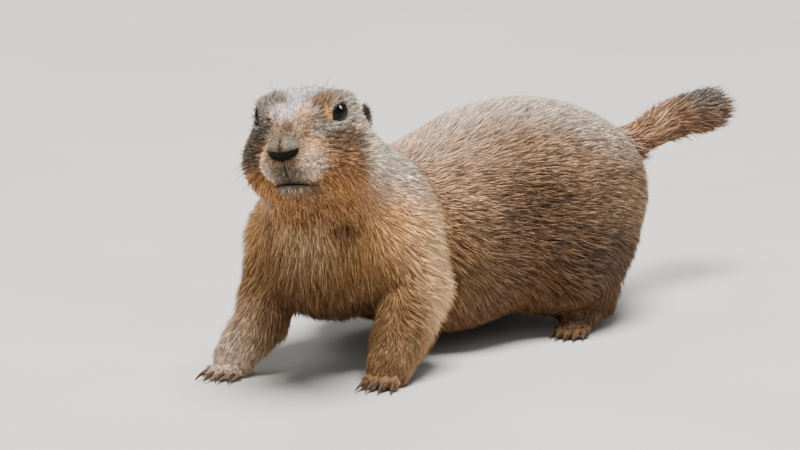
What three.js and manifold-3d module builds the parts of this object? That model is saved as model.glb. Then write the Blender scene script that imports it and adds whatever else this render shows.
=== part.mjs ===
// A black-tailed prairie dog at life size, standing on all fours with its head turned to its left.
// Millimetres, Z up. The trunk lies along X with the head towards -X, so its left side faces -Y.
// Flesh and short coat are one soft blend of eggs and tapered limbs, cut into named parts
// with thin gaps. Lids, lips, toes, claws and the locks of the tail are lofts fused to their part.

import * as THREE from "three";
import { LoftGeometry } from "three/addons/geometries/LoftGeometry.js";
import { mergeVertices } from "three/addons/utils/BufferGeometryUtils.js";
import Module from "manifold-3d";

const wasm = await Module();
wasm.setup();

// Driving dimensions
const GAP = 0.3; // left between neighbouring parts
const FRAME_SHIFT = [-32.5, 12, 0]; // puts the middle of the footprint at the origin
const BODY_GRID = 9.5; // size of the facets on the trunk
const LIMB_GRID = 6.5;
const HEAD_GRID = { step: 2.44, growth: 0.048, focus: [24, 0, -19] }; // finest at the muzzle
const PAW_GRID = 3.6;

const rad = THREE.MathUtils.degToRad;

// A posture is a place with a forward, a left and an up direction. At yaw 0 forward is -X;
// yaw turns it to the animal's left, pitch lifts it, and roll leans the crown to its right.
function posture({ at, yaw = 0, pitch = 0, roll = 0 }) {
  const turn = rad(yaw);
  const lift = rad(pitch);
  const lean = rad(roll);
  const forward = new THREE.Vector3(
    -Math.cos(turn) * Math.cos(lift),
    -Math.sin(turn) * Math.cos(lift),
    Math.sin(lift),
  );
  const level = new THREE.Vector3(Math.sin(turn), -Math.cos(turn), 0);
  const upright = new THREE.Vector3().crossVectors(forward, level);
  const left = level.clone().multiplyScalar(Math.cos(lean)).addScaledVector(upright, Math.sin(lean));
  const up = upright.clone().multiplyScalar(Math.cos(lean)).addScaledVector(level, -Math.sin(lean));
  const matrix = new THREE.Matrix4().makeBasis(forward, left, up).setPosition(...at);
  return { matrix, inverse: matrix.clone().invert(), forward, left, up };
}

const place = (frame, [f, s, u]) => new THREE.Vector3(f, s, u).applyMatrix4(frame.matrix);

const rump = posture({ at: [70, -12, 0], yaw: -9 });
const loin = posture({ at: [20, -5, 0], yaw: -2 });
const chest = posture({ at: [-48, -11, 0], yaw: 16 });
const head = posture({ at: [-110.4, -41.7, 119], yaw: 24.5, pitch: 9, roll: 6 });
const world = { matrix: new THREE.Matrix4(), inverse: new THREE.Matrix4() };

// Fields: functions of x, y, z that are below zero inside a shape and grow with distance from it

function egg(frame, at, radii, { yaw = 0, pitch = 0 } = {}) {
  const own = posture({ at: [0, 0, 0], yaw: -yaw, pitch });
  const turned = new THREE.Matrix4().makeBasis(
    new THREE.Vector3(-own.forward.x, own.forward.y, own.forward.z),
    new THREE.Vector3(-own.left.x, -own.left.y, own.left.z),
    new THREE.Vector3(-own.up.x, own.up.y, own.up.z),
  );
  const e = frame.matrix
    .clone()
    .multiply(new THREE.Matrix4().makeTranslation(...at))
    .multiply(turned)
    .invert().elements;
  const [a, b, c] = radii;
  return (x, y, z) => {
    const p = (e[0] * x + e[4] * y + e[8] * z + e[12]) / a;
    const q = (e[1] * x + e[5] * y + e[9] * z + e[13]) / b;
    const r = (e[2] * x + e[6] * y + e[10] * z + e[14]) / c;
    const level = Math.sqrt(p * p + q * q + r * r);
    const slope = Math.sqrt((p / a) ** 2 + (q / b) ** 2 + (r / c) ** 2);
    return slope < 1e-9 ? -Math.min(a, b, c) : (level * (level - 1)) / slope;
  };
}

// A limb is a chain of tapered capsules through stations [forward, left, up, radius].
function limb(frame, stations) {
  const joints = stations.map(([f, s, u, radius]) => ({ ...place(frame, [f, s, u]), radius }));
  const bones = joints.slice(1).map((b, i) => {
    const a = joints[i];
    const along = [b.x - a.x, b.y - a.y, b.z - a.z];
    return { a, along, length2: along[0] ** 2 + along[1] ** 2 + along[2] ** 2, grow: b.radius - a.radius };
  });
  return (x, y, z) => {
    let nearest = Infinity;
    for (const { a, along, length2, grow } of bones) {
      const px = x - a.x;
      const py = y - a.y;
      const pz = z - a.z;
      const dot = (px * along[0] + py * along[1] + pz * along[2]) / length2;
      const t = Math.min(1, Math.max(0, dot));
      const gap = Math.hypot(px - t * along[0], py - t * along[1], pz - t * along[2]);
      nearest = Math.min(nearest, gap - a.radius - t * grow);
    }
    return nearest;
  };
}

// Joins fields with a fillet about as wide as softness.
function blend(softness, ...fields) {
  return (x, y, z) => {
    let joined = fields[0](x, y, z);
    for (let i = 1; i < fields.length; i++) {
      const next = fields[i](x, y, z);
      const mix = Math.max(softness - Math.abs(joined - next), 0) / softness;
      joined = Math.min(joined, next) - (mix * mix * softness) / 4;
    }
    return joined;
  };
}

const SIDES = { left: 1, right: -1 };
const bothSides = (make) => Object.values(SIDES).map(make);

// Trunk: a round rump on full haunches, a low belly, and a narrower chest turned to the left
const trunkField = blend(
  20,
  egg(rump, [-4, 0, 54], [55, 48, 42]),
  egg(rump, [24, 0, 62], [48, 37, 32]),
  egg(loin, [2, 0, 40], [56, 47, 30]),
  egg(loin, [17, 0, 51], [50, 37, 30]),
  egg(chest, [0, 0, 54], [38, 32, 33]),
);
const haunches = bothSides((side) => egg(rump, [6, side * 31, 36], [37, 23, 29]));
const shoulders = bothSides((side) => egg(chest, [0, side * 22, 56], [22, 14.5, 24]));
const flanks = bothSides((side) => egg(loin, [14, side * 20, 30], [34, 25, 22]));
const brisket = egg(chest, [20, 0, 49], [20, 23, 24]);
const neckField = limb(world, [
  [-46, -11, 66, 31],
  [-72, -22, 84, 28],
  [-94, -33, 101, 24],
]);

// Arms run shoulder, elbow, forearm, wrist in the chest's own directions.
const ARMS = {
  left: [
    [2, 28, 56, 16],
    [4, 35, 36, 15],
    [18, 36, 22, 12.5],
    [34, 37, 9, 10],
  ],
  right: [
    [9, -26.5, 53, 15],
    [16, -27, 37, 13.5],
    [29, -24.5, 23, 12.5],
    [45, -30, 9, 9],
  ],
};
const arms = Object.values(ARMS).map((stations) => limb(chest, stations));

// Hind legs are folded under the rump, the same on both sides.
const legStations = (side) => [
  [8, side * 38, 28, 17],
  [-8, side * 36, 18, 11],
  [-15, side * 35, 9, 6.5],
  [4, side * 41, 7.5, 6.5],
];
const legs = bothSides((side) => limb(rump, legStations(side)));

const TAIL_ROOT = { at: [132, -21, 68.5], radius: 8 };
const tailRoot = limb(world, [
  [106, -19, 62, 12],
  [TAIL_ROOT.at[0] + 6, TAIL_ROOT.at[1], TAIL_ROOT.at[2] + 1, TAIL_ROOT.radius],
]);

// Head, in its own directions from the midpoint between the eyes
const skull = blend(
  8,
  egg(head, [-15, 0, -7], [27, 20, 16]),
  limb(head, [
    [-4, 0, -2, 10],
    [13, 0, -8, 7.8],
    [23, 0, -13.5, 6],
  ]),
  egg(head, [0, 0, -19], [22, 14.5, 13]),
);
const cheeks = bothSides((side) => egg(head, [-11, side * 14, -20], [19, 14.5, 15]));
const brows = bothSides((side) =>
  limb(head, [
    [-16, side * 13.5, 3.5, 5.5],
    [-2, side * 11.8, 4.6, 4.9],
    [9, side * 7.5, -0.5, 4.2],
  ]),
);
const orbits = bothSides((side) => egg(head, [-2, side * 12, -1.5], [10, 6.2, 8.6]));
const whiskerPads = bothSides((side) => egg(head, [15.5, side * 6, -19.8], [9.5, 7, 6.4]));
const chinField = egg(head, [9.5, 0, -29.5], [10.5, 8.5, 4.6]);
const noseField = egg(head, [26, 0, -13.8], [4.8, 6.2, 4.8]);
const faceField = blend(5, blend(8, skull, ...cheeks), ...brows, ...orbits);
const headField = blend(3, blend(6, blend(4, faceField, chinField), ...whiskerPads), noseField);

const torsoField = blend(14, blend(16, trunkField, ...haunches, ...flanks, ...shoulders, brisket), tailRoot);
const flesh = blend(10, blend(9, blend(14, torsoField, neckField), ...arms, ...legs), headField);

// Solids

function solidOf(geometry) {
  const bare = new THREE.BufferGeometry();
  bare.setAttribute("position", geometry.attributes.position.clone());
  bare.setIndex([...geometry.index.array]);
  const merged = mergeVertices(bare, 1e-4);
  const solid = new wasm.Manifold(
    new wasm.Mesh({
      numProp: 3,
      vertProperties: new Float32Array(merged.attributes.position.array),
      triVerts: new Uint32Array(merged.index.array),
    }),
  );
  return solid.volume() < 0 ? solidOf(turnedOut(merged)) : solid;
}

function turnedOut(geometry) {
  const index = geometry.index.array;
  for (let i = 0; i < index.length; i += 3) [index[i + 1], index[i + 2]] = [index[i + 2], index[i + 1]];
  return geometry;
}

function geometryOf(solid) {
  const mesh = solid.getMesh();
  const points = new Float32Array(mesh.numVert * 3);
  for (let i = 0; i < mesh.numVert; i++) {
    points.set(mesh.vertProperties.subarray(i * mesh.numProp, i * mesh.numProp + 3), i * 3);
  }
  const geometry = new THREE.BufferGeometry();
  geometry.setAttribute("position", new THREE.BufferAttribute(points, 3));
  geometry.setIndex(new THREE.BufferAttribute(new Uint32Array(mesh.triVerts), 1));
  geometry.computeVertexNormals();
  return geometry;
}

const largest = (solid) => solid.decompose().sort((a, b) => b.volume() - a.volume())[0];
const fuse = (solids) => solids.reduce((all, next) => all.add(next));

// Moves a point onto the surface along the field's own slope.
function settle(field, point) {
  const reach = 0.05;
  for (let pass = 0; pass < 3; pass++) {
    const { x, y, z } = point;
    const slope = new THREE.Vector3(
      field(x + reach, y, z) - field(x - reach, y, z),
      field(x, y + reach, z) - field(x, y - reach, z),
      field(x, y, z + reach) - field(x, y, z - reach),
    ).divideScalar(2 * reach);
    point.addScaledVector(slope, -field(x, y, z) / Math.max(slope.lengthSq(), 0.2));
  }
  return point;
}

// Corner n of a grid cell stands at its three bits; each cell edge joins corners one bit apart.
const CORNERS = [0, 1, 2, 3, 4, 5, 6, 7].map((n) => [n & 1, (n >> 1) & 1, n >> 2]);
const CELL_EDGES = CORNERS.flatMap((_, n) => [1, 2, 4].filter((bit) => !(n & bit)).map((bit) => [n, n | bit]));

// Places of grid planes from below low to beyond high, a step apart at the focus and wider
// by the growth for each millimetre away from it
function planes(low, high, step, focus = low, growth = 0) {
  const wider = (from, to) => {
    const way = Math.sign(to - from);
    const at = [];
    for (let v = from; way * (to - v) > 0; ) {
      v += way * step * (1 + growth * Math.abs(v - focus));
      at.push(v);
    }
    return at;
  };
  const below = focus > low ? wider(focus, low).reverse() : [];
  return [...below, focus, ...wider(focus, high)];
}

// Labels the full corners of a cell, alike where cell edges link them, and empty ones -1.
function fullGroups(full) {
  const group = full.map((is, n) => (is ? n : -1));
  for (let pass = 0; pass < 3; pass++) {
    for (const [a, b] of CELL_EDGES) {
      if (full[a] && full[b]) group[a] = group[b] = Math.min(group[a], group[b]);
    }
  }
  return group;
}

// The surface of a field inside a grid: one vertex in each grid cell for each group of its full
// corners, and one quad round each grid edge that leaves the shape. Outside the grid is empty.
function surfaceOf(field, lines) {
  const count = lines.map((line) => line.length);
  const id = (i, j, k) => (k * count[1] + j) * count[0] + i;
  const strides = [1, count[0], count[0] * count[1]];
  const value = new Float64Array(count[0] * count[1] * count[2]).fill(1);
  for (let k = 1; k < count[2] - 1; k++) {
    for (let j = 1; j < count[1] - 1; j++) {
      for (let i = 1; i < count[0] - 1; i++) {
        value[id(i, j, k)] = field(lines[0][i], lines[1][j], lines[2][k]);
      }
    }
  }
  const points = [];
  const groupsIn = new Map();
  const vertexOf = new Map();

  function placeVertices(i, j, k) {
    const at = [i, j, k];
    const origin = id(i, j, k);
    const values = CORNERS.map((c) => value[origin + c[0] * strides[0] + c[1] * strides[1] + c[2] * strides[2]]);
    const full = values.map((v) => v < 0);
    if (full.every((is) => is === full[0])) return;
    const groups = fullGroups(full);
    groupsIn.set(origin, groups);
    for (const group of new Set(groups.filter((g) => g >= 0))) {
      const middle = [0, 0, 0];
      let crossings = 0;
      for (const [a, b] of CELL_EDGES) {
        if (full[a] === full[b] || groups[full[a] ? a : b] !== group) continue;
        const t = values[a] / (values[a] - values[b]);
        crossings++;
        for (let axis = 0; axis < 3; axis++) {
          const line = lines[axis];
          const share = THREE.MathUtils.lerp(CORNERS[a][axis], CORNERS[b][axis], t);
          middle[axis] += THREE.MathUtils.lerp(line[at[axis]], line[at[axis] + 1], share);
        }
      }
      const point = new THREE.Vector3(...middle).divideScalar(crossings);
      const onWall = at.some((n, axis) => n === 0 || n === count[axis] - 2);
      vertexOf.set(origin * 8 + group, points.length);
      points.push(onWall ? point : settle(field, point));
    }
  }

  const index = [];
  function addQuad(a, b, c, d) {
    const short = points[a].distanceToSquared(points[c]) < points[b].distanceToSquared(points[d]);
    index.push(...(short ? [a, b, c, a, c, d] : [b, c, d, b, d, a]));
  }

  function addQuads(i, j, k) {
    const near = id(i, j, k);
    strides.forEach((stride, axis) => {
      const nearFull = value[near] < 0;
      if (nearFull === value[near + stride] < 0) return;
      const [u, v] = [(axis + 1) % 3, (axis + 2) % 3];
      const vertexIn = (du, dv) => {
        const origin = near - du * strides[u] - dv * strides[v];
        const corner = (du << u) | (dv << v) | (nearFull ? 0 : 1 << axis);
        return vertexOf.get(origin * 8 + groupsIn.get(origin)[corner]);
      };
      const ring = [vertexIn(1, 1), vertexIn(0, 1), vertexIn(0, 0), vertexIn(1, 0)];
      addQuad(...(nearFull ? ring : ring.reverse()));
    });
  }

  for (const visit of [placeVertices, addQuads]) {
    for (let k = 0; k < count[2] - 1; k++) {
      for (let j = 0; j < count[1] - 1; j++) {
        for (let i = 0; i < count[0] - 1; i++) visit(i, j, k);
      }
    }
  }
  const geometry = new THREE.BufferGeometry().setFromPoints(points);
  geometry.setIndex(index);
  return solidOf(geometry);
}

// A cell is a turned block that says which part owns the flesh inside it.
function cell(frame, low, high) {
  return {
    frame,
    low: new THREE.Vector3(...low),
    high: new THREE.Vector3(...high),
    solid(margin = 0) {
      const size = this.high.clone().sub(this.low).addScalar(2 * margin);
      const middle = this.high.clone().add(this.low).divideScalar(2);
      const box = new THREE.BoxGeometry(size.x, size.y, size.z).translate(middle.x, middle.y, middle.z);
      return solidOf(box.applyMatrix4(frame.matrix));
    },
    bounds(margin) {
      const box = new THREE.Box3(this.low.clone(), this.high.clone()).applyMatrix4(frame.matrix);
      return box.expandByScalar(margin);
    },
  };
}

// The flesh of one cell, less the cells that were taken before it, on a level floor
const WHOLE = new THREE.Box3(new THREE.Vector3(-150, -90, -14), new THREE.Vector3(150, 70, 150));
const floorSlab = solidOf(new THREE.BoxGeometry(600, 600, 60).translate(0, 0, -30));

const evenGrid = (box, step) => ["x", "y", "z"].map((axis) => planes(box.min[axis], box.max[axis], step));

function fleshIn(own, taken, step, field = flesh) {
  const box = own.bounds(2.2 * step).intersect(WHOLE);
  return trimmed(surfaceOf(field, evenGrid(box, step)), own, taken);
}

function trimmed(surface, own, taken) {
  let part = surface.intersect(own.solid()).subtract(floorSlab);
  for (const other of taken) part = part.subtract(other.solid(GAP));
  return largest(part);
}

// Lofts

// A tapering loft through points, with sides corners, flattened across its own up direction
function tapered(points, halfWidths, halfHeights, up, sides = 8) {
  const line = new THREE.CatmullRomCurve3(points);
  const rows = halfWidths.length;
  const sections = [];
  for (let row = 0; row < rows; row++) {
    const t = row / (rows - 1);
    const middle = line.getPoint(t);
    const along = line.getTangent(t);
    const across = new THREE.Vector3().crossVectors(along, up).normalize();
    const above = new THREE.Vector3().crossVectors(across, along).normalize();
    const section = [];
    for (let side = 0; side < sides; side++) {
      const turn = (2 * Math.PI * (side + 0.5)) / sides;
      section.push(
        middle
          .clone()
          .addScaledVector(across, -Math.cos(turn) * halfWidths[row])
          .addScaledVector(above, Math.sin(turn) * halfHeights[row]),
      );
    }
    sections.push(section);
  }
  return solidOf(new LoftGeometry(sections, { capStart: true, capEnd: true }));
}

// The point where a straight way in from outside first meets a field
function firstHit(field, from, towards) {
  const point = from.clone();
  for (let steps = 0; steps < 400; steps++) {
    const distance = field(point.x, point.y, point.z);
    if (distance < 0.01) break;
    point.addScaledVector(towards, Math.max(0.02, distance * 0.6));
  }
  return point;
}

// Head: eyes in sockets under ringed lids, nostrils, and a groove for the mouth

const EYE = { at: [0, 14.2, 0], radius: 5.4, looks: [0.54, 0.83, 0.08], opening: 4.2, lid: 0.8 };

function eyeParts(side) {
  const [f, s, u] = EYE.at;
  const middle = place(head, [f, side * s, u]);
  const [lf, ls, lu] = EYE.looks;
  const looks = place(head, [lf, side * ls, lu]).sub(place(head, [0, 0, 0])).normalize();
  const ball = (radius) =>
    solidOf(new THREE.SphereGeometry(radius, 16, 10).translate(middle.x, middle.y, middle.z));
  const reach = 12;
  const slot = new THREE.CylinderGeometry(EYE.opening + 1.5, EYE.opening - 0.6, reach, 16);
  slot.rotateX(Math.PI / 2).scale(1.08, 0.96, 1).translate(0, 0, EYE.radius - 2.4 + reach / 2);
  slot.applyMatrix4(new THREE.Matrix4().lookAt(looks, new THREE.Vector3(), head.up));
  slot.translate(middle.x, middle.y, middle.z);
  return {
    eye: ball(EYE.radius),
    lids: ball(EYE.radius + GAP + EYE.lid),
    hollow: ball(EYE.radius + GAP).add(solidOf(slot)),
  };
}

const eyes = { left: eyeParts(1), right: eyeParts(-1) };

const MOUTH = { halfWidth: 10.5, height: -26, droop: 0.022, groove: 0.75 };
const NOSTRIL = { at: [30.6, 3.4, -15.2], radius: 1.05 };

function mouthGroove() {
  const points = [];
  for (let n = -4; n <= 4; n++) {
    const s = (MOUTH.halfWidth * n) / 4;
    const u = MOUTH.height - MOUTH.droop * s * s;
    points.push(firstHit(headField, place(head, [45, s, u]), head.forward.clone().negate()));
  }
  const widths = points.map((_, n) => (n === 0 || n === 8 ? 0.35 : MOUTH.groove));
  return tapered(points, widths, widths, head.forward, 6);
}

function philtrum() {
  const points = [-17.8, -21.5, -25.6].map((u) =>
    firstHit(headField, place(head, [45, 0, u]), head.forward.clone().negate()),
  );
  return tapered(points, [0.4, 0.5, 0.5], [0.4, 0.5, 0.5], head.forward, 6);
}

function nostril(side) {
  const [f, s, u] = NOSTRIL.at;
  const points = [
    place(head, [f - 0.5, side * (s - 1.1), u - 0.4]),
    place(head, [f - 1.2, side * (s + 0.9), u + 0.1]),
    place(head, [f - 3.4, side * (s + 2.1), u + 1.2]),
  ];
  const radii = [0.7, NOSTRIL.radius, 0.5];
  return tapered(points, radii, radii, head.up, 6);
}

// Ears: low round cups that open forwards and outwards, set far back on the head

const EAR = { at: [-24.5, -3.6], tall: 5.4, wide: 5.4, thick: 2.8 };
const EAR_TURNS = { yaw: 38, pitch: 12, roll: -18 };

// The ear of one side as a posture that stands on the skin at a forward and an up place
function earFrame(side) {
  const inwards = head.left.clone().multiplyScalar(-side);
  const root = firstHit(flesh, place(head, [EAR.at[0], side * 60, EAR.at[1]]), inwards);
  const { yaw, pitch, roll } = EAR_TURNS;
  const own = posture({ at: [0, 0, 0], yaw: side * yaw, pitch, roll: side * roll });
  const inHead = (v) => new THREE.Vector3(-v.x, -v.y, v.z).transformDirection(head.matrix);
  return { matrix: new THREE.Matrix4().makeBasis(inHead(own.forward), inHead(own.left), inHead(own.up)).setPosition(root) };
}

function earParts(side) {
  const frame = earFrame(side);
  const ball = ([f, s, u], [a, b, c]) => {
    const round = new THREE.SphereGeometry(1, 12, 8).scale(a, b, c).translate(f, s, u);
    return solidOf(round.applyMatrix4(frame.matrix));
  };
  return {
    shell: ball([0, 0, 1.4], [EAR.thick, EAR.wide, EAR.tall]),
    hollow: ball([3, 0, 2.1], [3.5, EAR.wide - 1.2, EAR.tall - 1.3]),
  };
}

const ears = { left: earParts(1), right: earParts(-1) };

// Paws: a palm with toes and claws in a row, each toe a knuckled loft

const FOREPAW = { length: 9, halfWidth: 6.2, toes: 4, toeLength: 11, claw: 7, toeRadius: 2.3, spread: 11 };
const HINDPAW = { length: 12, halfWidth: 6.6, toes: 5, toeLength: 13, claw: 5.5, toeRadius: 2.3, spread: 10 };
const TOE_REACH = { 4: [0.9, 1.04, 1, 0.84], 5: [0.66, 0.93, 1.02, 0.96, 0.7] };

function toesOf(frame, paw) {
  const middle = (paw.toes - 1) / 2;
  return TOE_REACH[paw.toes].map((reach, n) => {
    const across = (n - middle) / middle;
    const turn = rad(across * paw.spread);
    const out = (distance, height) => {
      const along = paw.length * 0.45 + distance * Math.cos(turn);
      return place(frame, [along, across * (paw.halfWidth - 1.6) + distance * Math.sin(turn), height]);
    };
    const long = paw.toeLength * reach;
    const r = paw.toeRadius;
    const toe = tapered(
      [out(-3, 3.6), out(long * 0.5, 4.3), out(long, 2.4)],
      [r * 0.95, r * 1.05, r * 0.95, r * 0.5],
      [r * 1.1, r * 1.1, r * 0.85, r * 0.4],
      frame.up,
      5,
    );
    const claw = tapered(
      [out(long - 3, 3), out(long + paw.claw * 0.45, 2.9), out(long + paw.claw * 0.95, 0.5)],
      [0.9, 1, 0.3],
      [1.2, 1.1, 0.3],
      frame.up,
      4,
    );
    return toe.add(claw);
  });
}

// The turn of a posture in the horizontal plane, read from two stations
function pawFrame(parent, stations, turnOut, side, yaw) {
  const [f, s] = stations.at(-1);
  const at = place(parent, [f, s, 0]).toArray();
  return posture({ at, yaw: yaw + side * turnOut });
}

const paws = {
  forepaw_left: { frame: pawFrame(chest, ARMS.left, 4, 1, 16), shape: FOREPAW, back: -2, wide: 14 },
  forepaw_right: { frame: pawFrame(chest, ARMS.right, 4, -1, 16), shape: FOREPAW, back: -2, wide: 14 },
  hindpaw_left: { frame: pawFrame(rump, legStations(1), 32, 1, -9), shape: HINDPAW, back: -6, wide: 14 },
  hindpaw_right: { frame: pawFrame(rump, legStations(-1), 24, -1, -9), shape: HINDPAW, back: -6, wide: 14 },
};
for (const paw of Object.values(paws)) {
  paw.cell = cell(paw.frame, [paw.back, -paw.wide, -20], [46, paw.wide, 13]);
  const palm = egg(paw.frame, [1, 0, 4.5], [paw.shape.length, paw.shape.halfWidth, 5.2]);
  paw.field = blend(5, flesh, palm);
}

function pawSolid(paw) {
  const box = paw.cell.bounds(0);
  box.min.z = -6;
  const palm = surfaceOf(paw.field, evenGrid(box, PAW_GRID));
  const whole = fuse([palm, ...toesOf(paw.frame, paw.shape)]);
  return largest(whole.intersect(paw.cell.solid()).subtract(floorSlab));
}

// Tail: a thin core carrying rings of flat locks that lie back over one another

const TAIL = {
  line: [
    [TAIL_ROOT.at[0] - 5, TAIL_ROOT.at[1], TAIL_ROOT.at[2] - 0.8],
    [147, -21, 71.5],
    [165, -20.5, 75],
    [184, -20, 77],
  ],
  coreRadii: [8.2, 7.6, 6, 5, 4.6, 4.2, 3.6, 2.6],
  coatRadii: [8.2, 8.8, 9.6, 9.9, 10, 9.8, 9.2, 8],
  rings: 6,
  locksPerRing: 8,
  lockLength: 23,
  lockHalfWidth: 3.5,
  lockHalfHeight: 0.9,
};
const tailLine = new THREE.CatmullRomCurve3(TAIL.line.map((p) => new THREE.Vector3(...p)));

// The value at t, from 0 to 1, of a size that is listed at even steps
function sizeAt(list, t) {
  const at = THREE.MathUtils.clamp(t, 0, 1) * (list.length - 1);
  const n = Math.min(Math.floor(at), list.length - 2);
  return THREE.MathUtils.lerp(list[n], list[n + 1], at - n);
}

// A small repeatable random sequence, from 0 to 1
function sequence(seed) {
  let state = seed;
  return () => {
    state = (state * 16807) % 2147483647;
    return state / 2147483647;
  };
}

// One lock leaves the core at t and bends out to the coat's radius, then back along the tail.
function tailLock(t, turn, vary) {
  const root = tailLine.getPoint(t);
  const along = tailLine.getTangent(t);
  const across = new THREE.Vector3().crossVectors(along, new THREE.Vector3(0, 0, 1)).normalize();
  const above = new THREE.Vector3().crossVectors(across, along).normalize();
  const out = across.multiplyScalar(Math.cos(turn)).addScaledVector(above, Math.sin(turn));
  const long = TAIL.lockLength * (0.85 + 0.3 * vary());
  const inner = sizeAt(TAIL.coreRadii, t);
  const outer = sizeAt(TAIL.coatRadii, t + 0.2) - 1 + 1.6 * vary();
  const rise = [-0.45 * inner, 0.3, 0.75, 1].map((share) => (share < 0 ? inner + share : inner + share * (outer - inner)));
  const path = rise.map((away, n) =>
    root.clone().addScaledVector(along, -2 + (long * n) / 3).addScaledVector(out, away),
  );
  const { lockHalfWidth: wide, lockHalfHeight: thick } = TAIL;
  return tapered(path, [wide * 0.8, wide, wide * 0.85, 0.9], [thick, thick, thick * 0.8, 0.35], out, 4);
}

function tailSolid() {
  const vary = sequence(71);
  const core = tapered(tailLine.getPoints(7), TAIL.coreRadii, TAIL.coreRadii, new THREE.Vector3(0, 0, 1), 10);
  const pieces = [core];
  for (let ring = 0; ring < TAIL.rings; ring++) {
    const t = 0.1 + (0.86 * ring) / (TAIL.rings - 1);
    for (let n = 0; n < TAIL.locksPerRing; n++) {
      const turn = (2 * Math.PI * (n + 0.5 * (ring % 2) + 0.2 * (vary() - 0.5))) / TAIL.locksPerRing;
      pieces.push(tailLock(t, turn, vary));
    }
  }
  return largest(fuse(pieces).intersect(tailCell.solid()));
}

// Cells in the order in which they take their share of the flesh

const headCell = cell(head, [-33, -45, -50], [60, 45, 40]);
const neckCell = cell(chest, [26, -50, 62], [90, 60, 160]);
const tailCell = cell(world, [TAIL_ROOT.at[0], -45, 45], [230, 5, 110]);
const forearmCell = (arm, side) => {
  const [, elbow, , wrist] = arm;
  return cell(chest, [elbow[0] - 14, Math.min(side * 15, side * 60), -10], [wrist[0] + 8, Math.max(side * 15, side * 60), 30]);
};
const upperArmCell = (arm, side) => {
  const [shoulder] = arm;
  const near = side * (Math.abs(shoulder[1]) - 4);
  const far = side * 70;
  return cell(chest, [shoulder[0] - 26, Math.min(near, far), -10], [shoulder[0] + 24, Math.max(near, far), 84]);
};
const thighCell = (side) => {
  const near = side * 31;
  const far = side * 80;
  return cell(rump, [-40, Math.min(near, far), -10], [44, Math.max(near, far), 66]);
};
const shankCell = (side) => {
  const near = side * 18;
  const far = side * 60;
  return cell(rump, [-45, Math.min(near, far), -10], [24, Math.max(near, far), 14]);
};

// The assembled animal

const coat = (color) => new THREE.MeshStandardMaterial({ color, roughness: 0.85, metalness: 0 });
const MATERIALS = {
  head: coat(0xb08a62),
  throat: coat(0xc4a077),
  back: coat(0x9a7a58),
  limb: coat(0xbf9a6c),
  ear: coat(0x8a5f3e),
  tail: coat(0x6f5a48),
  eye: new THREE.MeshStandardMaterial({ color: 0x0c0a09, roughness: 0.08, metalness: 0 }),
};

const prairieDog = new THREE.Group();

function add(name, solid, material) {
  const mesh = new THREE.Mesh(geometryOf(solid), material);
  mesh.name = name;
  prairieDog.add(mesh);
}

const pawCells = Object.values(paws).map((paw) => paw.cell);

// The grid of the head is square to the head, so both sides of the face get the same facets.
function headSkin(grown = 0) {
  const { step, growth, focus } = HEAD_GRID;
  const low = [-40, -42, -54];
  const high = [38, 42, 22];
  const e = head.matrix.elements;
  const own = (f, s, u) =>
    flesh(
      e[0] * f + e[4] * s + e[8] * u + e[12],
      e[1] * f + e[5] * s + e[9] * u + e[13],
      e[2] * f + e[6] * s + e[10] * u + e[14],
    ) - grown;
  const grid = low.map((v, axis) => planes(v, high[axis], step, focus[axis], growth));
  return surfaceOf(own, grid).transform(head.matrix.elements);
}

function headSolid() {
  const skin = trimmed(headSkin(), headCell, []);
  const lidded = fuse([skin, eyes.left.lids, eyes.right.lids]);
  const hollows = [eyes.left.hollow, eyes.right.hollow, mouthGroove(), philtrum(), nostril(1), nostril(-1)];
  return largest(hollows.reduce((whole, hollow) => whole.subtract(hollow), lidded));
}

// An ear stands on the skin of the head, a gap above it.
function earSolid({ shell, hollow }) {
  return largest(shell.subtract(hollow).subtract(headSkin(GAP)));
}

add("head", headSolid(), MATERIALS.head);
for (const side of Object.keys(SIDES)) {
  add(`eye_${side}`, eyes[side].eye, MATERIALS.eye);
  add(`ear_${side}`, earSolid(ears[side]), MATERIALS.ear);
}
for (const [name, paw] of Object.entries(paws)) add(name, pawSolid(paw), MATERIALS.limb);

const taken = [headCell, ...pawCells];
const takeFlesh = (name, own, step, material) => {
  add(name, fleshIn(own, taken, step), material);
  taken.push(own);
};
for (const [side, sign] of Object.entries(SIDES)) {
  takeFlesh(`forearm_${side}`, forearmCell(ARMS[side], sign), LIMB_GRID, MATERIALS.limb);
  takeFlesh(`upper_arm_${side}`, upperArmCell(ARMS[side], sign), LIMB_GRID, MATERIALS.limb);
  takeFlesh(`shank_${side}`, shankCell(sign), LIMB_GRID, MATERIALS.limb);
  takeFlesh(`thigh_${side}`, thighCell(sign), BODY_GRID, MATERIALS.back);
}
taken.push(tailCell);
takeFlesh("neck", neckCell, LIMB_GRID, MATERIALS.throat);
takeFlesh("chest", cell(chest, [-22, -90, -20], [120, 90, 130]), BODY_GRID, MATERIALS.throat);
takeFlesh("abdomen", cell(loin, [-16, -90, -20], [80, 90, 130]), BODY_GRID, MATERIALS.back);
takeFlesh("rump", cell(world, [0, -120, -20], [200, 120, 130]), BODY_GRID, MATERIALS.back);
add("tail", tailSolid(), MATERIALS.tail);

prairieDog.position.set(...FRAME_SHIFT);

export default prairieDog;
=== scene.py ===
"""A black-tailed prairie dog at life size, as a still museum model that stands on all fours.

Sizes are millimetres along a posture's forward, left and up directions, and meshes are metres in
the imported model's frame. The flesh is a soft blend of eggs and tapered limbs. The skin is its level
surface, drawn in by the depth of the coat, and the coat is tufts that lie along a combed direction.
"""

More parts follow.
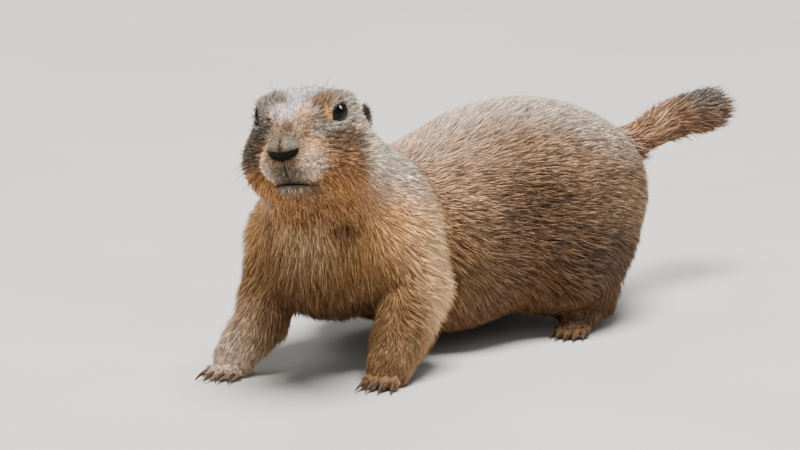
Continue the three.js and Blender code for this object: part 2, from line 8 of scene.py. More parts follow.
import bpy
import numpy as np
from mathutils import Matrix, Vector


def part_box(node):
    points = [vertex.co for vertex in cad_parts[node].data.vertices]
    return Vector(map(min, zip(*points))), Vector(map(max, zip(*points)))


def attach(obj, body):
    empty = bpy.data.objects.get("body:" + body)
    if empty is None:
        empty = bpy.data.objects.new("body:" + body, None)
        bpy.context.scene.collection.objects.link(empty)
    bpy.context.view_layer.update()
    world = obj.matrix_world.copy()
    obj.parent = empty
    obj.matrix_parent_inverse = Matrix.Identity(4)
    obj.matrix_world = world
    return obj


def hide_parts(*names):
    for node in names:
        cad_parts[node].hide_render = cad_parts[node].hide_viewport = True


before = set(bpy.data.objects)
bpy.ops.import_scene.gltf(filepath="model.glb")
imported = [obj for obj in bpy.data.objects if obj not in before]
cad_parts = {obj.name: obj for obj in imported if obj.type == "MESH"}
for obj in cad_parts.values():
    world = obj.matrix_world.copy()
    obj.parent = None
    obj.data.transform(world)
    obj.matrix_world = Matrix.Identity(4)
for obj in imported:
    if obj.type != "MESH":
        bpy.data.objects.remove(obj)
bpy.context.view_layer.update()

MM = 0.001
SIDES = {"left": 1, "right": -1}
rng = np.random.default_rng(20)

# Camera, as the photo was taken
CAMERA = {"azimuth": -49, "elevation": 11.5, "distance": 2300, "focal": 5290, "target": (0, 0, 50)}
PHOTO_WIDTH = 800
SENSOR = 36

# Postures


def posture(at, yaw=0, pitch=0, roll=0):
    """A place with unit forward, left and up rows. At yaw 0 forward is -X; yaw turns it to the
    animal's left, pitch lifts it, and roll leans the crown to its right."""
    turn, lift, lean = np.radians([yaw, pitch, roll])
    forward = np.array([-np.cos(turn) * np.cos(lift), -np.sin(turn) * np.cos(lift), np.sin(lift)])
    level = np.array([np.sin(turn), -np.cos(turn), 0])
    upright = np.cross(forward, level)
    left = level * np.cos(lean) + upright * np.sin(lean)
    up = upright * np.cos(lean) - level * np.sin(lean)
    return {"at": np.array(at, float), "axes": np.stack([forward, left, up])}


def to_own(frame_of, points):
    """Each point's offset from the posture's place, measured along its three directions."""
    return (points - frame_of["at"]) @ frame_of["axes"].T


def place(frame_of, points):
    """The posture's place and as much of each of its directions as the point's numbers say."""
    return np.asarray(points, float) @ frame_of["axes"] + frame_of["at"]


def unit(vectors):
    """Vectors over their own length."""
    return vectors / np.maximum(np.linalg.norm(vectors, axis=-1, keepdims=True), 1e-9)


def rise(values, start, over):
    """Nought up to the start, one from a stretch past it, and straight between."""
    return np.clip((values - start) / over, 0, 1)


def fall(values, end, over):
    """One up to a stretch before the end, nought from the end, and straight between."""
    return np.clip((end - values) / over, 0, 1)


def between(first, second, share):
    """The first value where the share is nought, the second where it is one, and straight between."""
    return np.array(first) * (1 - share) + np.array(second) * share


rump = posture((70, -12, 0), yaw=-9)
loin = posture((20, -5, 0), yaw=-2)
chest = posture((-48, -11, 0), yaw=16)
head = posture((-110.4, -41.7, 119), yaw=24.5, pitch=9, roll=6)
world = {"at": np.zeros(3), "axes": np.eye(3)}


def middle_of(node):
    """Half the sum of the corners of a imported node's box, in millimetres."""
    low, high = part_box(node)
    return (np.array(low) + np.array(high)) / 2 / MM


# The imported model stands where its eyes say, and every other place follows from theirs.
SHIFT = (middle_of("eye_left") + middle_of("eye_right")) / 2 - head["at"]

# Fields: arrays of points in, distances out, below zero inside the shape


def egg(frame_of, at, radii):
    """Level times level less one, over the slope, where level is the length of the point once it
    is divided by the radii."""
    radii = np.array(radii, float)

    def field(points):
        p = (to_own(frame_of, points) - at) / radii
        level = np.linalg.norm(p, axis=1)
        return level * (level - 1) / np.maximum(np.linalg.norm(p / radii, axis=1), 1e-9)

    return field


def limb(frame_of, stations):
    """Distance to a chain of bones less a radius that changes evenly along each bone."""
    stations = np.array(stations, float)
    joints, radii = place(frame_of, stations[:, :3]), stations[:, 3]

    def field(points):
        nearest = np.full(len(points), np.inf)
        for a, b, start, end in zip(joints[:-1], joints[1:], radii[:-1], radii[1:]):
            along = b - a
            t = np.clip((points - a) @ along / (along @ along), 0, 1)
            gap = np.linalg.norm(points - a - t[:, None] * along, axis=1)
            nearest = np.minimum(nearest, gap - start - t * (end - start))
        return nearest

    return field


def blend(softness, *fields):
    """The lower of two fields, less a quarter of the softness where they are alike."""

    def field(points):
        joined = fields[0](points)
        for other in fields[1:]:
            near = other(points)
            mix = np.maximum(softness - np.abs(joined - near), 0) / softness
            joined = np.minimum(joined, near) - mix * mix * softness / 4
        return joined

    return field


def both_sides(make):
    """What a function makes of 1, for the left, and of -1, for the right."""
    return [make(side) for side in SIDES.values()]


# How wide each blend between two forms is
SOFT = {"trunk": 20, "sides": 16, "tail": 14, "neck": 14, "limbs": 9, "head": 10}
SOFT_FACE = {"skull": 8, "brows": 5, "chin": 4, "whisker_pads": 6, "nose": 3}
SOFT_PAW = {"palm": 5, "toes": 1.2}

trunk_field = blend(
    SOFT["trunk"],
    egg(rump, (-4, 0, 54), (55, 48, 42)),
    egg(rump, (24, 0, 62), (48, 37, 32)),
    egg(loin, (2, 0, 40), (56, 47, 30)),
    egg(loin, (17, 0, 51), (50, 37, 30)),
    egg(chest, (0, 0, 54), (38, 32, 33)),
)
haunches = both_sides(lambda side: egg(rump, (6, side * 31, 36), (37, 23, 29)))
flanks = both_sides(lambda side: egg(loin, (14, side * 20, 30), (34, 25, 22)))
shoulders = both_sides(lambda side: egg(chest, (0, side * 22, 56), (22, 14.5, 24)))
brisket = egg(chest, (20, 0, 49), (20, 23, 24))
neck_field = limb(world, [(-46, -11, 66, 31), (-72, -22, 84, 28), (-94, -33, 101, 24)])

# Arms run shoulder, elbow, forearm, wrist; legs are folded under the rump.
ARMS = {
    "left": [(2, 28, 56, 16), (4, 35, 36, 15), (18, 36, 22, 12.5), (34, 37, 9, 10)],
    "right": [(9, -26.5, 53, 15), (16, -27, 37, 13.5), (29, -24.5, 23, 12.5), (45, -30, 9, 9)],
}
arms = [limb(chest, stations) for stations in ARMS.values()]


def leg_stations(side):
    """Places and radii of the thigh, the shank, the heel and the ball of the foot."""
    return [
        (8, side * 38, 28, 17),
        (-8, side * 36, 18, 11),
        (-15, side * 35, 9, 6.5),
        (4, side * 41, 7.5, 6.5),
    ]


legs = both_sides(lambda side: limb(rump, leg_stations(side)))

# Tail: a bony core along a line that rises behind the rump
TAIL_LINE = [(106, -19, 62), (132, -21, 69.5), (147, -21, 73.2), (166, -20.5, 76.6), (187, -20, 77.3)]
TAIL_CORE = [12, 7, 5.2, 4.3, 4.6]
tail_core = limb(world, [(*at, radius) for at, radius in zip(TAIL_LINE, TAIL_CORE)])

skull = blend(
    SOFT_FACE["skull"],
    egg(head, (-15, 0, -7), (27, 20, 16)),
    limb(head, [(-4, 0, -2, 10), (13, 0, -8, 7.8), (23, 0, -13.5, 6)]),
    egg(head, (0, 0, -19), (22, 14.5, 13)),
)
cheeks = both_sides(lambda side: egg(head, (-11, side * 14, -20), (19, 14.5, 15)))
brows = both_sides(
    lambda side: limb(
        head, [(-16, side * 13.5, 3.5, 5.5), (-2, side * 11.8, 4.6, 4.9), (9, side * 7.5, -0.5, 4.2)]
    )
)
orbits = both_sides(lambda side: egg(head, (-2, side * 12, -1.5), (10, 6.2, 8.6)))
whisker_pads = both_sides(lambda side: egg(head, (15.5, side * 6, -19.8), (9.5, 7, 6.4)))
chin_field = egg(head, (9.5, 0, -29.5), (10.5, 8.5, 4.6))
nose_field = egg(head, (26, 0, -13.8), (4.8, 6.2, 4.8))
face_field = blend(SOFT_FACE["skull"], skull, *cheeks)
face_field = blend(SOFT_FACE["brows"], face_field, *brows, *orbits)
face_field = blend(SOFT_FACE["chin"], face_field, chin_field)
face_field = blend(SOFT_FACE["whisker_pads"], face_field, *whisker_pads)
head_field = blend(SOFT_FACE["nose"], face_field, nose_field)

torso_field = blend(SOFT["sides"], trunk_field, *haunches, *flanks, *shoulders, brisket)
torso_field = blend(SOFT["tail"], torso_field, tail_core)
torso_field = blend(SOFT["neck"], torso_field, neck_field)
body_field = blend(SOFT["head"], blend(SOFT["limbs"], torso_field, *arms, *legs), head_field)

# Paws: a palm with toes in a row, each with a claw, that fan out by the spread in degrees
FOREPAW = {"length": 9, "half_width": 6.2, "toe_length": 11, "claw": 7, "radius": 2.3, "spread": 11,
           "reach": (0.9, 1.04, 1, 0.84)}
HINDPAW = {"length": 12, "half_width": 6.6, "toe_length": 13, "claw": 5.5, "radius": 2.3, "spread": 10,
           "reach": (0.66, 0.93, 1.02, 0.96, 0.7)}
PALM = {"at": (1, 0, 4.5), "half_height": 5.2, "knuckles": 0.45, "edge": 1.6}

# A toe starts behind the knuckles. Each row after that has a share of the toe's length, a height,
# and a share of its radius.
TOE_START = (-3, 3.6)
TOE_ROWS = [(0.45, 4.1, 0.95), (0.62, 3.7, 1.08), (0.86, 2.9, 0.9), (1, 2.3, 0.7)]


def paw(parent, stations, side, turn_out, yaw, shape):
    """A paw on the floor under its limb's last station, turned out from the limb's posture."""
    foot = place(parent, (stations[-1][0], stations[-1][1], 0))
    return {"frame": posture(foot, yaw=yaw + side * turn_out), "shape": shape}


PAWS = {
    "forepaw_left": paw(chest, ARMS["left"], 1, 4, 16, FOREPAW),
    "forepaw_right": paw(chest, ARMS["right"], -1, 4, 16, FOREPAW),
    "hindpaw_left": paw(rump, leg_stations(1), 1, 32, -9, HINDPAW),
    "hindpaw_right": paw(rump, leg_stations(-1), -1, 24, -9, HINDPAW),
}


def toe_places(shape):
    """Yields, for each toe, its length and a function from distance and height to a paw place."""
    middle = (len(shape["reach"]) - 1) / 2
    for n, reach in enumerate(shape["reach"]):
        across = (n - middle) / middle
        turn = np.radians(across * shape["spread"])

        def out(distance, height, across=across, turn=turn):
            forward = shape["length"] * PALM["knuckles"] + distance * np.cos(turn)
            aside = across * (shape["half_width"] - PALM["edge"]) + distance * np.sin(turn)
            return (forward, aside, height)

        yield shape["toe_length"] * reach, out


def paw_field(one):
    """An egg for the palm, and a limb for each toe through its rows."""
    shape, radius = one["shape"], one["shape"]["radius"]
    palm = egg(one["frame"], PALM["at"], (shape["length"], shape["half_width"], PALM["half_height"]))
    toes = []
    for long, out in toe_places(shape):
        rows = [(*out(long * share, height), radius * thick) for share, height, thick in TOE_ROWS]
        toes.append(limb(one["frame"], [(*out(*TOE_START), radius), *rows]))
    return palm, toes


palms_and_toes = [paw_field(one) for one in PAWS.values()]
palms = [palm for palm, _ in palms_and_toes]
toes = [toe for _, row in palms_and_toes for toe in row]
flesh = blend(SOFT_PAW["toes"], blend(SOFT_PAW["palm"], body_field, *palms), *toes)

# Eyes. The opening is half the gap between the lids, and turns are in degrees round the gaze.
EYE = {"at": (0, 14.2, 0), "radius": 5.4, "looks": (0.54, 0.83, 0.08), "opening": 3.5}
LID = {"oval": 0.12, "oval_turn": 35, "low": 0.15, "low_turn": -60, "corner": 0.95, "corner_turn": 212}
LID_FLESH = {"thick": 1.1, "soft": 2.2, "behind": -1, "slack": 0.35, "flare": 0.22, "flare_from": 4}
SOCKET_GAP = 0.25


def eye_frame(side):
    """The eye's own directions: forward along its gaze, up as near the head's as that allows."""
    forward = unit(np.array(EYE["looks"]) * (1, side, 1)) @ head["axes"]
    left = unit(np.cross(head["axes"][2], forward))
    axes = np.stack([forward, left, np.cross(forward, left)])
    return {"at": place(head, np.array(EYE["at"]) * (1, side, 1)), "axes": axes}


EYES = {side: eye_frame(sign) for side, sign in SIDES.items()}


def lid_line(turn, side):
    """Half the opening of the lids each way round the gaze: its size times one and a tilted oval,
    and more where it hangs low, and in the corner by the fourth power of the cosine to it."""
    turn = turn if side > 0 else np.pi - turn
    oval = LID["oval"] * np.cos(2 * (turn - np.radians(LID["oval_turn"])))
    low = LID["low"] * np.cos(turn - np.radians(LID["low_turn"]))
    corner = LID["corner"] * np.maximum(np.cos(turn - np.radians(LID["corner_turn"])), 0) ** 4
    return EYE["opening"] * (1 + oval) + low + corner


CAST = {"share": 0.7, "back": -2, "on": 6, "steps": 60}


def cast(field, start, towards, reach=40):
    """Walks points from outside along a direction by a share of the distance left, until they
    meet the shape or have gone as far as the reach."""
    points = np.array(start, float)
    walked = np.zeros(len(points))
    for _ in range(CAST["steps"]):
        step = np.clip(field(points) * CAST["share"], CAST["back"], CAST["on"])
        step = np.where(walked + step > reach, 0, step)
        walked += step
        points = points + step[:, None] * towards
    return points


# Casts on the face start this far out along a direction of the head.
WELL_OUT = 45.0


def cast_on_face(s, u):
    """Points of the face straight behind places given by how far left and up they are."""
    start = place(head, np.stack([np.full(s.shape, WELL_OUT), s, u], -1).reshape(-1, 3))
    return cast(head_field, start, -head["axes"][0])


MOUTH = {"half_width": 9.4, "height": -28.4, "droop": 0.013, "points": 25}
PHILTRUM = {"top": -17.6, "above_mouth": 1, "points": 9}


def mouth_path(count):
    """Points across the face where the lips meet, drooping with the square of the distance out."""
    s = np.linspace(-MOUTH["half_width"], MOUTH["half_width"], count)
    return cast_on_face(s, MOUTH["height"] - MOUTH["droop"] * s * s)


def philtrum_path(count):
    """Points evenly down the middle of the face from under the nose to just above the mouth."""
    u = np.linspace(PHILTRUM["top"], MOUTH["height"] + PHILTRUM["above_mouth"], count)
    return cast_on_face(np.zeros(count), u)


mouth_line = mouth_path(MOUTH["points"])
mouth_middle = mouth_line[MOUTH["points"] // 2]
philtrum_line = philtrum_path(PHILTRUM["points"])


def to_line(points, line):
    """The least of the distances from points to closely set places along a line."""
    nearest = np.full(len(points), np.inf)
    for at in line:
        nearest = np.minimum(nearest, np.linalg.norm(points - at, axis=1))
    return nearest


# The coat's lie. Each stroke gives a posture, a place, a direction, the tufts' length, the depth
# of the coat over the skin, and the coat piece that it belongs to.


def mirrored(strokes):
    """Repeats each stroke off the middle on the other side, and puts the side for _side in names."""
    out = []
    for frame_of, at, way, length, depth, piece in strokes:
        for side, sign in SIDES.items():
            if at[1] or side == "left":
                turned = np.array((1, sign, 1))
                name = piece.replace("_side", "_" + side)
                out.append((frame_of, at * turned, way * turned, length, depth, name))
    return out


STROKES = mirrored(
    [
        (head, (25, 0, -9), (-1, 0, 0.45), 2.2, 0.5, "coat_muzzle"),
        (head, (12, 0, -0.5), (-1, 0, 0.35), 3.2, 0.8, "coat_muzzle"),
        (head, (4, 0, 6), (-1, 0, 0.15), 4.5, 1.1, "coat_crown"),
        (head, (-12, 0, 10), (-1, 0, 0), 5.5, 1.5, "coat_crown"),
        (head, (-28, 0, 8), (-1, 0, -0.2), 6.5, 2, "coat_crown"),
        (head, (24, 7, -13), (-1, 0.6, 0.1), 2, 0.45, "coat_muzzle"),
        (head, (26, 2, -20), (-0.4, 0.4, -1), 2, 0.5, "coat_muzzle"),
        (head, (23, 7, -20), (-0.7, 0.8, -0.5), 2.3, 0.5, "coat_muzzle"),
        (head, (22, 4, -25), (-0.5, 0.35, -1), 2.6, 0.6, "coat_muzzle"),
        (head, (17, 12, -20), (-1, 0.5, -0.3), 3, 0.7, "coat_muzzle"),
        (head, (16, 9, -26), (-1, 0.4, -0.7), 3, 0.7, "coat_muzzle"),
        (head, (14, 9, -9), (-1, 0.3, 0.1), 3, 0.7, "coat_muzzle"),
        (head, (18, 0, -32), (-0.7, 0, -1), 2.6, 0.6, "coat_chin"),
        (head, (6, 0, -36), (-1, 0, -0.4), 4, 1, "coat_chin"),
        (head, (8, 10, -32), (-1, 0.35, -0.6), 4.5, 1.1, "coat_chin"),
        (head, (5, 13, 7), (-1, 0.1, 0.35), 4, 1, "coat_brow_side"),
        (head, (-4, 14, 9.5), (-1, 0.15, 0.3), 5, 1.3, "coat_brow_side"),
        (head, (8, 14, -4), (-0.9, 0.6, 0.2), 3, 0.6, "coat_brow_side"),
        (head, (4, 17, -9), (-1, 0.35, -0.1), 3.4, 0.7, "coat_cheek_side"),
        (head, (-10, 20, -3), (-1, 0.15, 0), 4.5, 1.1, "coat_brow_side"),
        (head, (0, 23, -16), (-1, 0.3, -0.12), 5.5, 1.4, "coat_cheek_side"),
        (head, (-14, 28, -14), (-1, 0.12, -0.15), 7, 1.9, "coat_cheek_side"),
        (head, (-8, 27, -24), (-1, 0.15, -0.3), 7.5, 2.1, "coat_cheek_side"),
        (head, (0, 19, -32), (-0.9, 0.25, -0.6), 6.5, 1.8, "coat_cheek_side"),
        (head, (-22, 24, -30), (-1, 0.05, -0.45), 8, 2.4, "coat_cheek_side"),
        (head, (-19, 19, -3.5), (-1, 0.5, 0.2), 5.5, 1.6, "coat_brow_side"),
        (head, (-28, 20, -3), (-1, 0, -0.1), 5, 1.6, "coat_nape"),
        (head, (-40, 16, 2), (-1, 0, -0.3), 8, 2.6, "coat_nape"),
        (head, (-42, 0, 6), (-1, 0, -0.3), 8, 2.6, "coat_nape"),
        (head, (-42, 24, -14), (-1, 0, -0.3), 9, 3, "coat_nape"),
        (head, (-8, 0, -42), (-0.7, 0, -1), 7.5, 2.2, "coat_throat"),
        (chest, (34, 0, 78), (0, 0, -1), 8.5, 2.6, "coat_throat"),
        (chest, (32, 16, 74), (-0.35, 0.1, -1), 9, 2.7, "coat_throat"),
        (chest, (38, 0, 56), (-0.05, 0, -1), 9.5, 3, "coat_chest"),
        (chest, (32, 18, 52), (-0.1, 0.1, -1), 9.5, 3, "coat_chest"),
        (chest, (26, 0, 32), (-0.5, 0, -1), 9.5, 3, "coat_chest"),
        (chest, (6, 0, 20), (-1, 0, -0.3), 9, 3, "coat_belly"),
        (chest, (20, 28, 80), (-1, 0.15, -0.5), 9.5, 3, "coat_neck_side"),
        (chest, (10, 30, 68), (-0.9, 0.1, -0.75), 9.5, 3, "coat_neck_side"),
        (chest, (-6, 38, 66), (-1, 0.05, -0.4), 9.5, 3, "coat_shoulder_side"),
        (chest, (-16, 38, 52), (-0.9, 0.05, -0.6), 9.5, 3.1, "coat_shoulder_side"),
        (chest, (8, 46, 48), (-0.9, 0.05, -0.6), 10, 2.8, "coat_shoulder_side"),
        (chest, (-10, 44, 34), (-0.7, 0, -0.8), 10, 2.8, "coat_shoulder_side"),
        (chest, (0, 14, 88), (-1, 0.4, -0.2), 8, 3, "coat_back"),
        (loin, (30, 0, 88), (-1, 0, 0), 8, 3, "coat_back"),
        (loin, (32, 18, 82), (-1, 0.5, -0.1), 8, 3, "coat_back"),
        (loin, (0, 0, 92), (-1, 0, 0), 8, 3, "coat_back"),
        (loin, (2, 20, 86), (-1, 0.4, -0.05), 8, 3, "coat_back"),
        (loin, (10, 36, 72), (-1, 0.25, -0.3), 8, 3, "coat_back"),
        (loin, (30, 34, 70), (-0.9, 0.1, -0.5), 8, 3, "coat_back"),
        (loin, (32, 42, 52), (-0.75, 0.05, -0.8), 9, 3.1, "coat_flank_side"),
        (loin, (8, 47, 48), (-1, 0.02, -0.28), 8, 3.1, "coat_flank_side"),
        (loin, (30, 42, 26), (-0.6, 0, -0.9), 11, 3.4, "coat_flank_side"),
        (loin, (6, 44, 20), (-0.8, -0.05, -0.6), 11.5, 3.6, "coat_flank_side"),
        (loin, (10, 22, 8), (-1, 0, -0.25), 10.5, 3.4, "coat_belly"),
        (loin, (10, 0, 6), (-1, 0, -0.1), 9, 3.2, "coat_belly"),
        (rump, (10, 0, 98), (-1, 0, 0), 8, 3, "coat_rump"),
        (rump, (-30, 0, 90), (-1, 0, -0.25), 8, 3, "coat_rump"),
        (rump, (-30, 30, 78), (-1, 0.05, -0.3), 8, 3, "coat_rump"),
        (rump, (0, 50, 55), (-1, 0.02, -0.16), 7.5, 3, "coat_haunch_side"),
        (rump, (-30, 40, 52), (-1, -0.2, -0.5), 7.5, 3, "coat_haunch_side"),
        (rump, (14, 50, 32), (-0.95, 0, -0.35), 8.5, 3, "coat_haunch_side"),
        (rump, (-20, 44, 26), (-0.8, -0.1, -0.7), 9.5, 3, "coat_haunch_side"),
        (rump, (-50, 16, 58), (-0.4, -0.1, -1), 9, 3, "coat_seat"),
        (rump, (-46, 20, 34), (-0.2, -0.1, -1), 8.5, 2.8, "coat_seat"),
        (rump, (-30, 0, 18), (-0.8, 0, -0.5), 8.5, 2.8, "coat_seat"),
        (rump, (-4, 20, 14), (-1, 0, -0.2), 8.5, 2.8, "coat_belly"),
        (rump, (-8, 40, 12), (0.2, 0.1, -1), 5.5, 1.6, "coat_shank_side"),
        (rump, (-18, 36, 7), (0.9, 0.15, -0.5), 4, 0.9, "coat_shank_side"),
        (rump, (4, 42, 12), (0.8, 0.1, -0.6), 4.5, 1.1, "coat_shank_side"),
    ]
)

# Down each arm: the strokes' ways, lengths and depths at the elbow, the forearm and the wrist
ARM_WAYS = {"left": [(-0.8, 0.25, -1), (-0.5, 0.2, -1), (-0.15, 0.1, -1)],
            "right": [(0.1, -0.2, -1), (0.3, -0.15, -1), (0.4, -0.1, -1)]}
ARM_LENGTHS = (10, 9, 7)
ARM_DEPTHS = (2.4, 1.9, 1.2)
for side, stations in ARMS.items():
    for at, way, length, depth in zip(stations[1:], ARM_WAYS[side], ARM_LENGTHS, ARM_DEPTHS):
        STROKES.append((chest, at[:3], way, length, depth, f"coat_arm_{side}"))

# Along the tail each stroke points to the next place of the line, and a few more fan its end out.
TAIL_TIP = (207, -19.5, 77.4)
TAIL_LENGTH = 17
TAIL_DEPTHS = (2.6, 4.2, 5.2, 5.4)
TAIL_FAN = [
    ((162, -20.5, 69), (1, 0, -0.3), 14, 5.4),
    ((182, -20, 70), (1, 0, -0.5), 14, 5.4),
    ((184, -20, 86), (1, 0, 0.02), 14, 5.4),
    ((193, -20, 79), (1, 0, 0), 9, 4.5),
]
for at, after, depth in zip(TAIL_LINE[1:], [*TAIL_LINE[2:], TAIL_TIP], TAIL_DEPTHS):
    STROKES.append((world, at, tuple(np.array(after) - at), TAIL_LENGTH, depth, "coat_tail"))
for at, way, length, depth in TAIL_FAN:
    STROKES.append((world, at, way, length, depth, "coat_tail"))

# Each paw has a stroke on its palm and one across its toes, at a share of their length.
TOE_STROKE = 0.8
for name, one in PAWS.items():
    toes_at = one["shape"]["length"] * PALM["knuckles"] + one["shape"]["toe_length"] * TOE_STROKE
    STROKES += [
        (one["frame"], (4, 0, 8), (1, 0, -0.3), 3.8, 0.6, f"coat_{name}"),
        (one["frame"], (toes_at, 0, 4), (1, 0, -0.35), 2.6, 0.35, f"coat_{name}"),
    ]

STROKE_AT = np.array([place(frame_of, at) for frame_of, at, *_ in STROKES])
stroke_ways = [np.array(way, float) @ frame_of["axes"] for frame_of, _, way, *_ in STROKES]
STROKE_WAY = unit(np.array(stroke_ways))
STROKE_LENGTH, STROKE_DEPTH, STROKE_PIECE = (np.array(column) for column in list(zip(*STROKES))[3:])
STROKE_REACH = 3.0


def stroke_shares(points):
    """Each stroke's share at each point: one over the fourth power of a softened distance."""
    square = ((points**2).sum(1)[:, None] + (STROKE_AT**2).sum(1)) - 2 * points @ STROKE_AT.T
    share = 1 / (np.maximum(square, 0) + STROKE_REACH**2) ** 2
    return share / share.sum(1, keepdims=True)


TAIL_BARE = {"from": 118, "over": 14, "depth": 0.3}
FLOOR_CLEAR = 0.15
NOSE = {"height": -13.6, "half_width": 6.7, "half_height": 4.9, "lift": 0.2}
NOSE_BED = {"deep": 2.6, "edge": 0.96, "soft": 0.2, "front": 17, "front_soft": 3}


def coat_depth(points):
    """The strokes' mean depth, which gives way to a thin even one behind the root of the tail,
    where the core is narrow and its long tufts make the outline."""
    depth = stroke_shares(points) @ STROKE_DEPTH
    tail = rise(points[:, 0], TAIL_BARE["from"], TAIL_BARE["over"])
    return depth * (1 - tail) + TAIL_BARE["depth"] * tail


def under_nose_pad(points):
    """One behind the nose pad and nought outside its edge, by the level of the pad's ellipse."""
    own = to_own(head, points)
    across = own[:, 1] / NOSE["half_width"]
    above = (own[:, 2] - NOSE["height"]) / NOSE["half_height"]
    behind = fall(np.hypot(across, above), NOSE_BED["edge"], NOSE_BED["soft"])
    return behind * rise(own[:, 0], NOSE_BED["front"], NOSE_BED["front_soft"])


def round_gaze(side, points):
    """How far forward points are along an eye's gaze, how far out from it, and the half opening
    of the lids on their side of it."""
    own = to_own(EYES[side], points)
    turn = np.arctan2(own[:, 2], own[:, 1])
    return own[:, 0], np.hypot(own[:, 1], own[:, 2]), lid_line(turn, SIDES[side])


FAR = 20
MOUTH_GROOVE = {"half": 0.55, "near": 22}


def with_eye(skin, points, side):
    """The skin blended with lids, which are a ball with the opening cut out, and then less a slot
    that flares out of the opening and a socket a little smaller than the eyeball."""
    ahead, around, opening = round_gaze(side, points)
    ball = np.linalg.norm(to_own(EYES[side], points), axis=1)
    lid = np.maximum(ball - (EYE["radius"] + LID_FLESH["thick"]), opening - around)
    lid = np.where(ahead > LID_FLESH["behind"], lid, FAR)
    mix = np.maximum(LID_FLESH["soft"] - np.abs(skin - lid), 0) / LID_FLESH["soft"]
    skin = np.minimum(skin, lid) - mix * mix * LID_FLESH["soft"] / 4
    flare = LID_FLESH["flare"] * (ahead - LID_FLESH["flare_from"])
    slot = np.where(ahead > 0, opening + LID_FLESH["slack"] + flare - around, -FAR)
    return np.maximum(skin, np.maximum(slot, EYE["radius"] - SOCKET_GAP - ball))


def skin_field(points):
    """The flesh drawn in by the coat, with sockets, a bed for the nose pad and the groove of the
    lips cut in, and cut flat at the floor."""
    skin = flesh(points) + coat_depth(points)
    for side in EYES:
        skin = with_eye(skin, points, side)
    skin = skin + NOSE_BED["deep"] * under_nose_pad(points)
    near = np.linalg.norm(points - mouth_middle, axis=1) < MOUTH_GROOVE["near"]
    lines = np.concatenate([mouth_line, philtrum_line])
    skin[near] = np.maximum(skin[near], MOUTH_GROOVE["half"] - to_line(points[near], lines))
    return np.maximum(skin, FLOOR_CLEAR - points[:, 2])


# The skin: a level surface on a grid that is finest at the muzzle

SKIN_GRID = {"low": (-150, -72, -4), "high": (198, 50, 134), "focus": (-138, -54, 102)}
SKIN_STEP = {"least": 0.75, "growth": 0.022, "most": 2.0}
NEAR_SURFACE = 2 * SKIN_STEP["most"] + 3.5
OUTSIDE = 9


def grid_line(low, high, focus):
    """Places from low to high whose steps grow evenly with the distance from the focus."""

    def run(end):
        at, out = focus, []
        while abs(at - focus) < abs(end - focus):
            step = SKIN_STEP["least"] + SKIN_STEP["growth"] * abs(at - focus)
            at += np.sign(end - focus) * min(step, SKIN_STEP["most"])
            out.append(at)
        return out

    return np.array(run(low)[::-1] + [focus] + run(high))


def grid_values(field, lines):
    """Values of a field on a grid, worked out in full only near the surface. Every other plane
    is tried first, and a point far from the surface there keeps its neighbour's value. The
    grid's outer planes count as outside, so that the surface is closed."""
    coarse_lines = [line[::2] for line in lines]
    coarse = np.stack(np.meshgrid(*coarse_lines, indexing="ij"), axis=-1).reshape(-1, 3)
    shape = [len(line) for line in coarse_lines]
    coarse = body_sample(field, coarse).reshape(shape)
    for axis in range(3):
        coarse = np.repeat(coarse, 2, axis=axis)
    values = coarse[tuple(slice(0, len(line)) for line in lines)].copy()
    i, j, k = np.nonzero(np.abs(values) < NEAR_SURFACE)
    points = np.stack([lines[0][i], lines[1][j], lines[2][k]], axis=1)
    values[i, j, k] = body_sample(field, points)
    for axis in range(3):
        np.moveaxis(values, axis, 0)[[0, -1]] = OUTSIDE
    return values


def body_sample(field, points, batch=200000):
    """The field's values at many points, worked out a batch at a time."""
    return np.concatenate([field(points[n : n + batch]) for n in range(0, len(points), batch)])


CORNERS = np.array([(n & 1, (n >> 1) & 1, n >> 2) for n in range(8)])
CELL_EDGES = [(n, n | bit) for n in range(8) for bit in (1, 2, 4) if not n & bit]


def crossed_cells(inside):
    """The cells that have corners both inside and outside, and a grid of their numbers."""
    cells = tuple(n - 1 for n in inside.shape)
    count = np.zeros(cells, np.int8)
    for corner in CORNERS:
        count += inside[tuple(slice(c, c + n) for c, n in zip(corner, cells))]
    crossed = np.stack(np.nonzero((count > 0) & (count < len(CORNERS))), axis=1)
    number = np.full(cells, -1, np.int64)
    number[tuple(crossed.T)] = np.arange(len(crossed))
    return crossed, number


def crossings_mean(values, lines, crossed):
    """For each crossed cell, the mean of the places where its edges' values pass nought."""
    total = np.zeros((len(crossed), 3))
    crossings = np.zeros(len(crossed))
    for a, b in CELL_EDGES:
        va = values[tuple((crossed + CORNERS[a]).T)]
        vb = values[tuple((crossed + CORNERS[b]).T)]
        cuts = (va < 0) != (vb < 0)
        t = np.where(cuts, va / np.where(cuts, va - vb, 1), 0)
        low, high = (
            np.stack([lines[axis][crossed[:, axis] + CORNERS[end][axis]] for axis in range(3)], 1)
            for end in (a, b)
        )
        total += np.where(cuts[:, None], between(low, high, t[:, None]), 0)
        crossings += cuts
    return total / crossings[:, None]


def quads_along(axis, inside, number):
    """A quad round each grid edge along one axis that leaves the shape: the numbers of the four
    cells that share the edge, turned so that the quad faces out."""
    u, v = (axis + 1) % 3, (axis + 2) % 3
    near = tuple(slice(1, -1) if other != axis else slice(0, -1) for other in range(3))
    far = tuple(slice(1, -1) if other != axis else slice(1, None) for other in range(3))
    edge = np.stack(np.nonzero(inside[near] != inside[far]), axis=1)
    edge[:, [u, v]] += 1
    ring = []
    for du, dv in ((1, 1), (0, 1), (0, 0), (1, 0)):
        cell = edge.copy()
        cell[:, u] -= du
        cell[:, v] -= dv
        ring.append(number[tuple(cell.T)])
    ring = np.stack(ring, axis=1)
    return np.where(inside[tuple(edge.T)][:, None], ring, ring[:, ::-1])


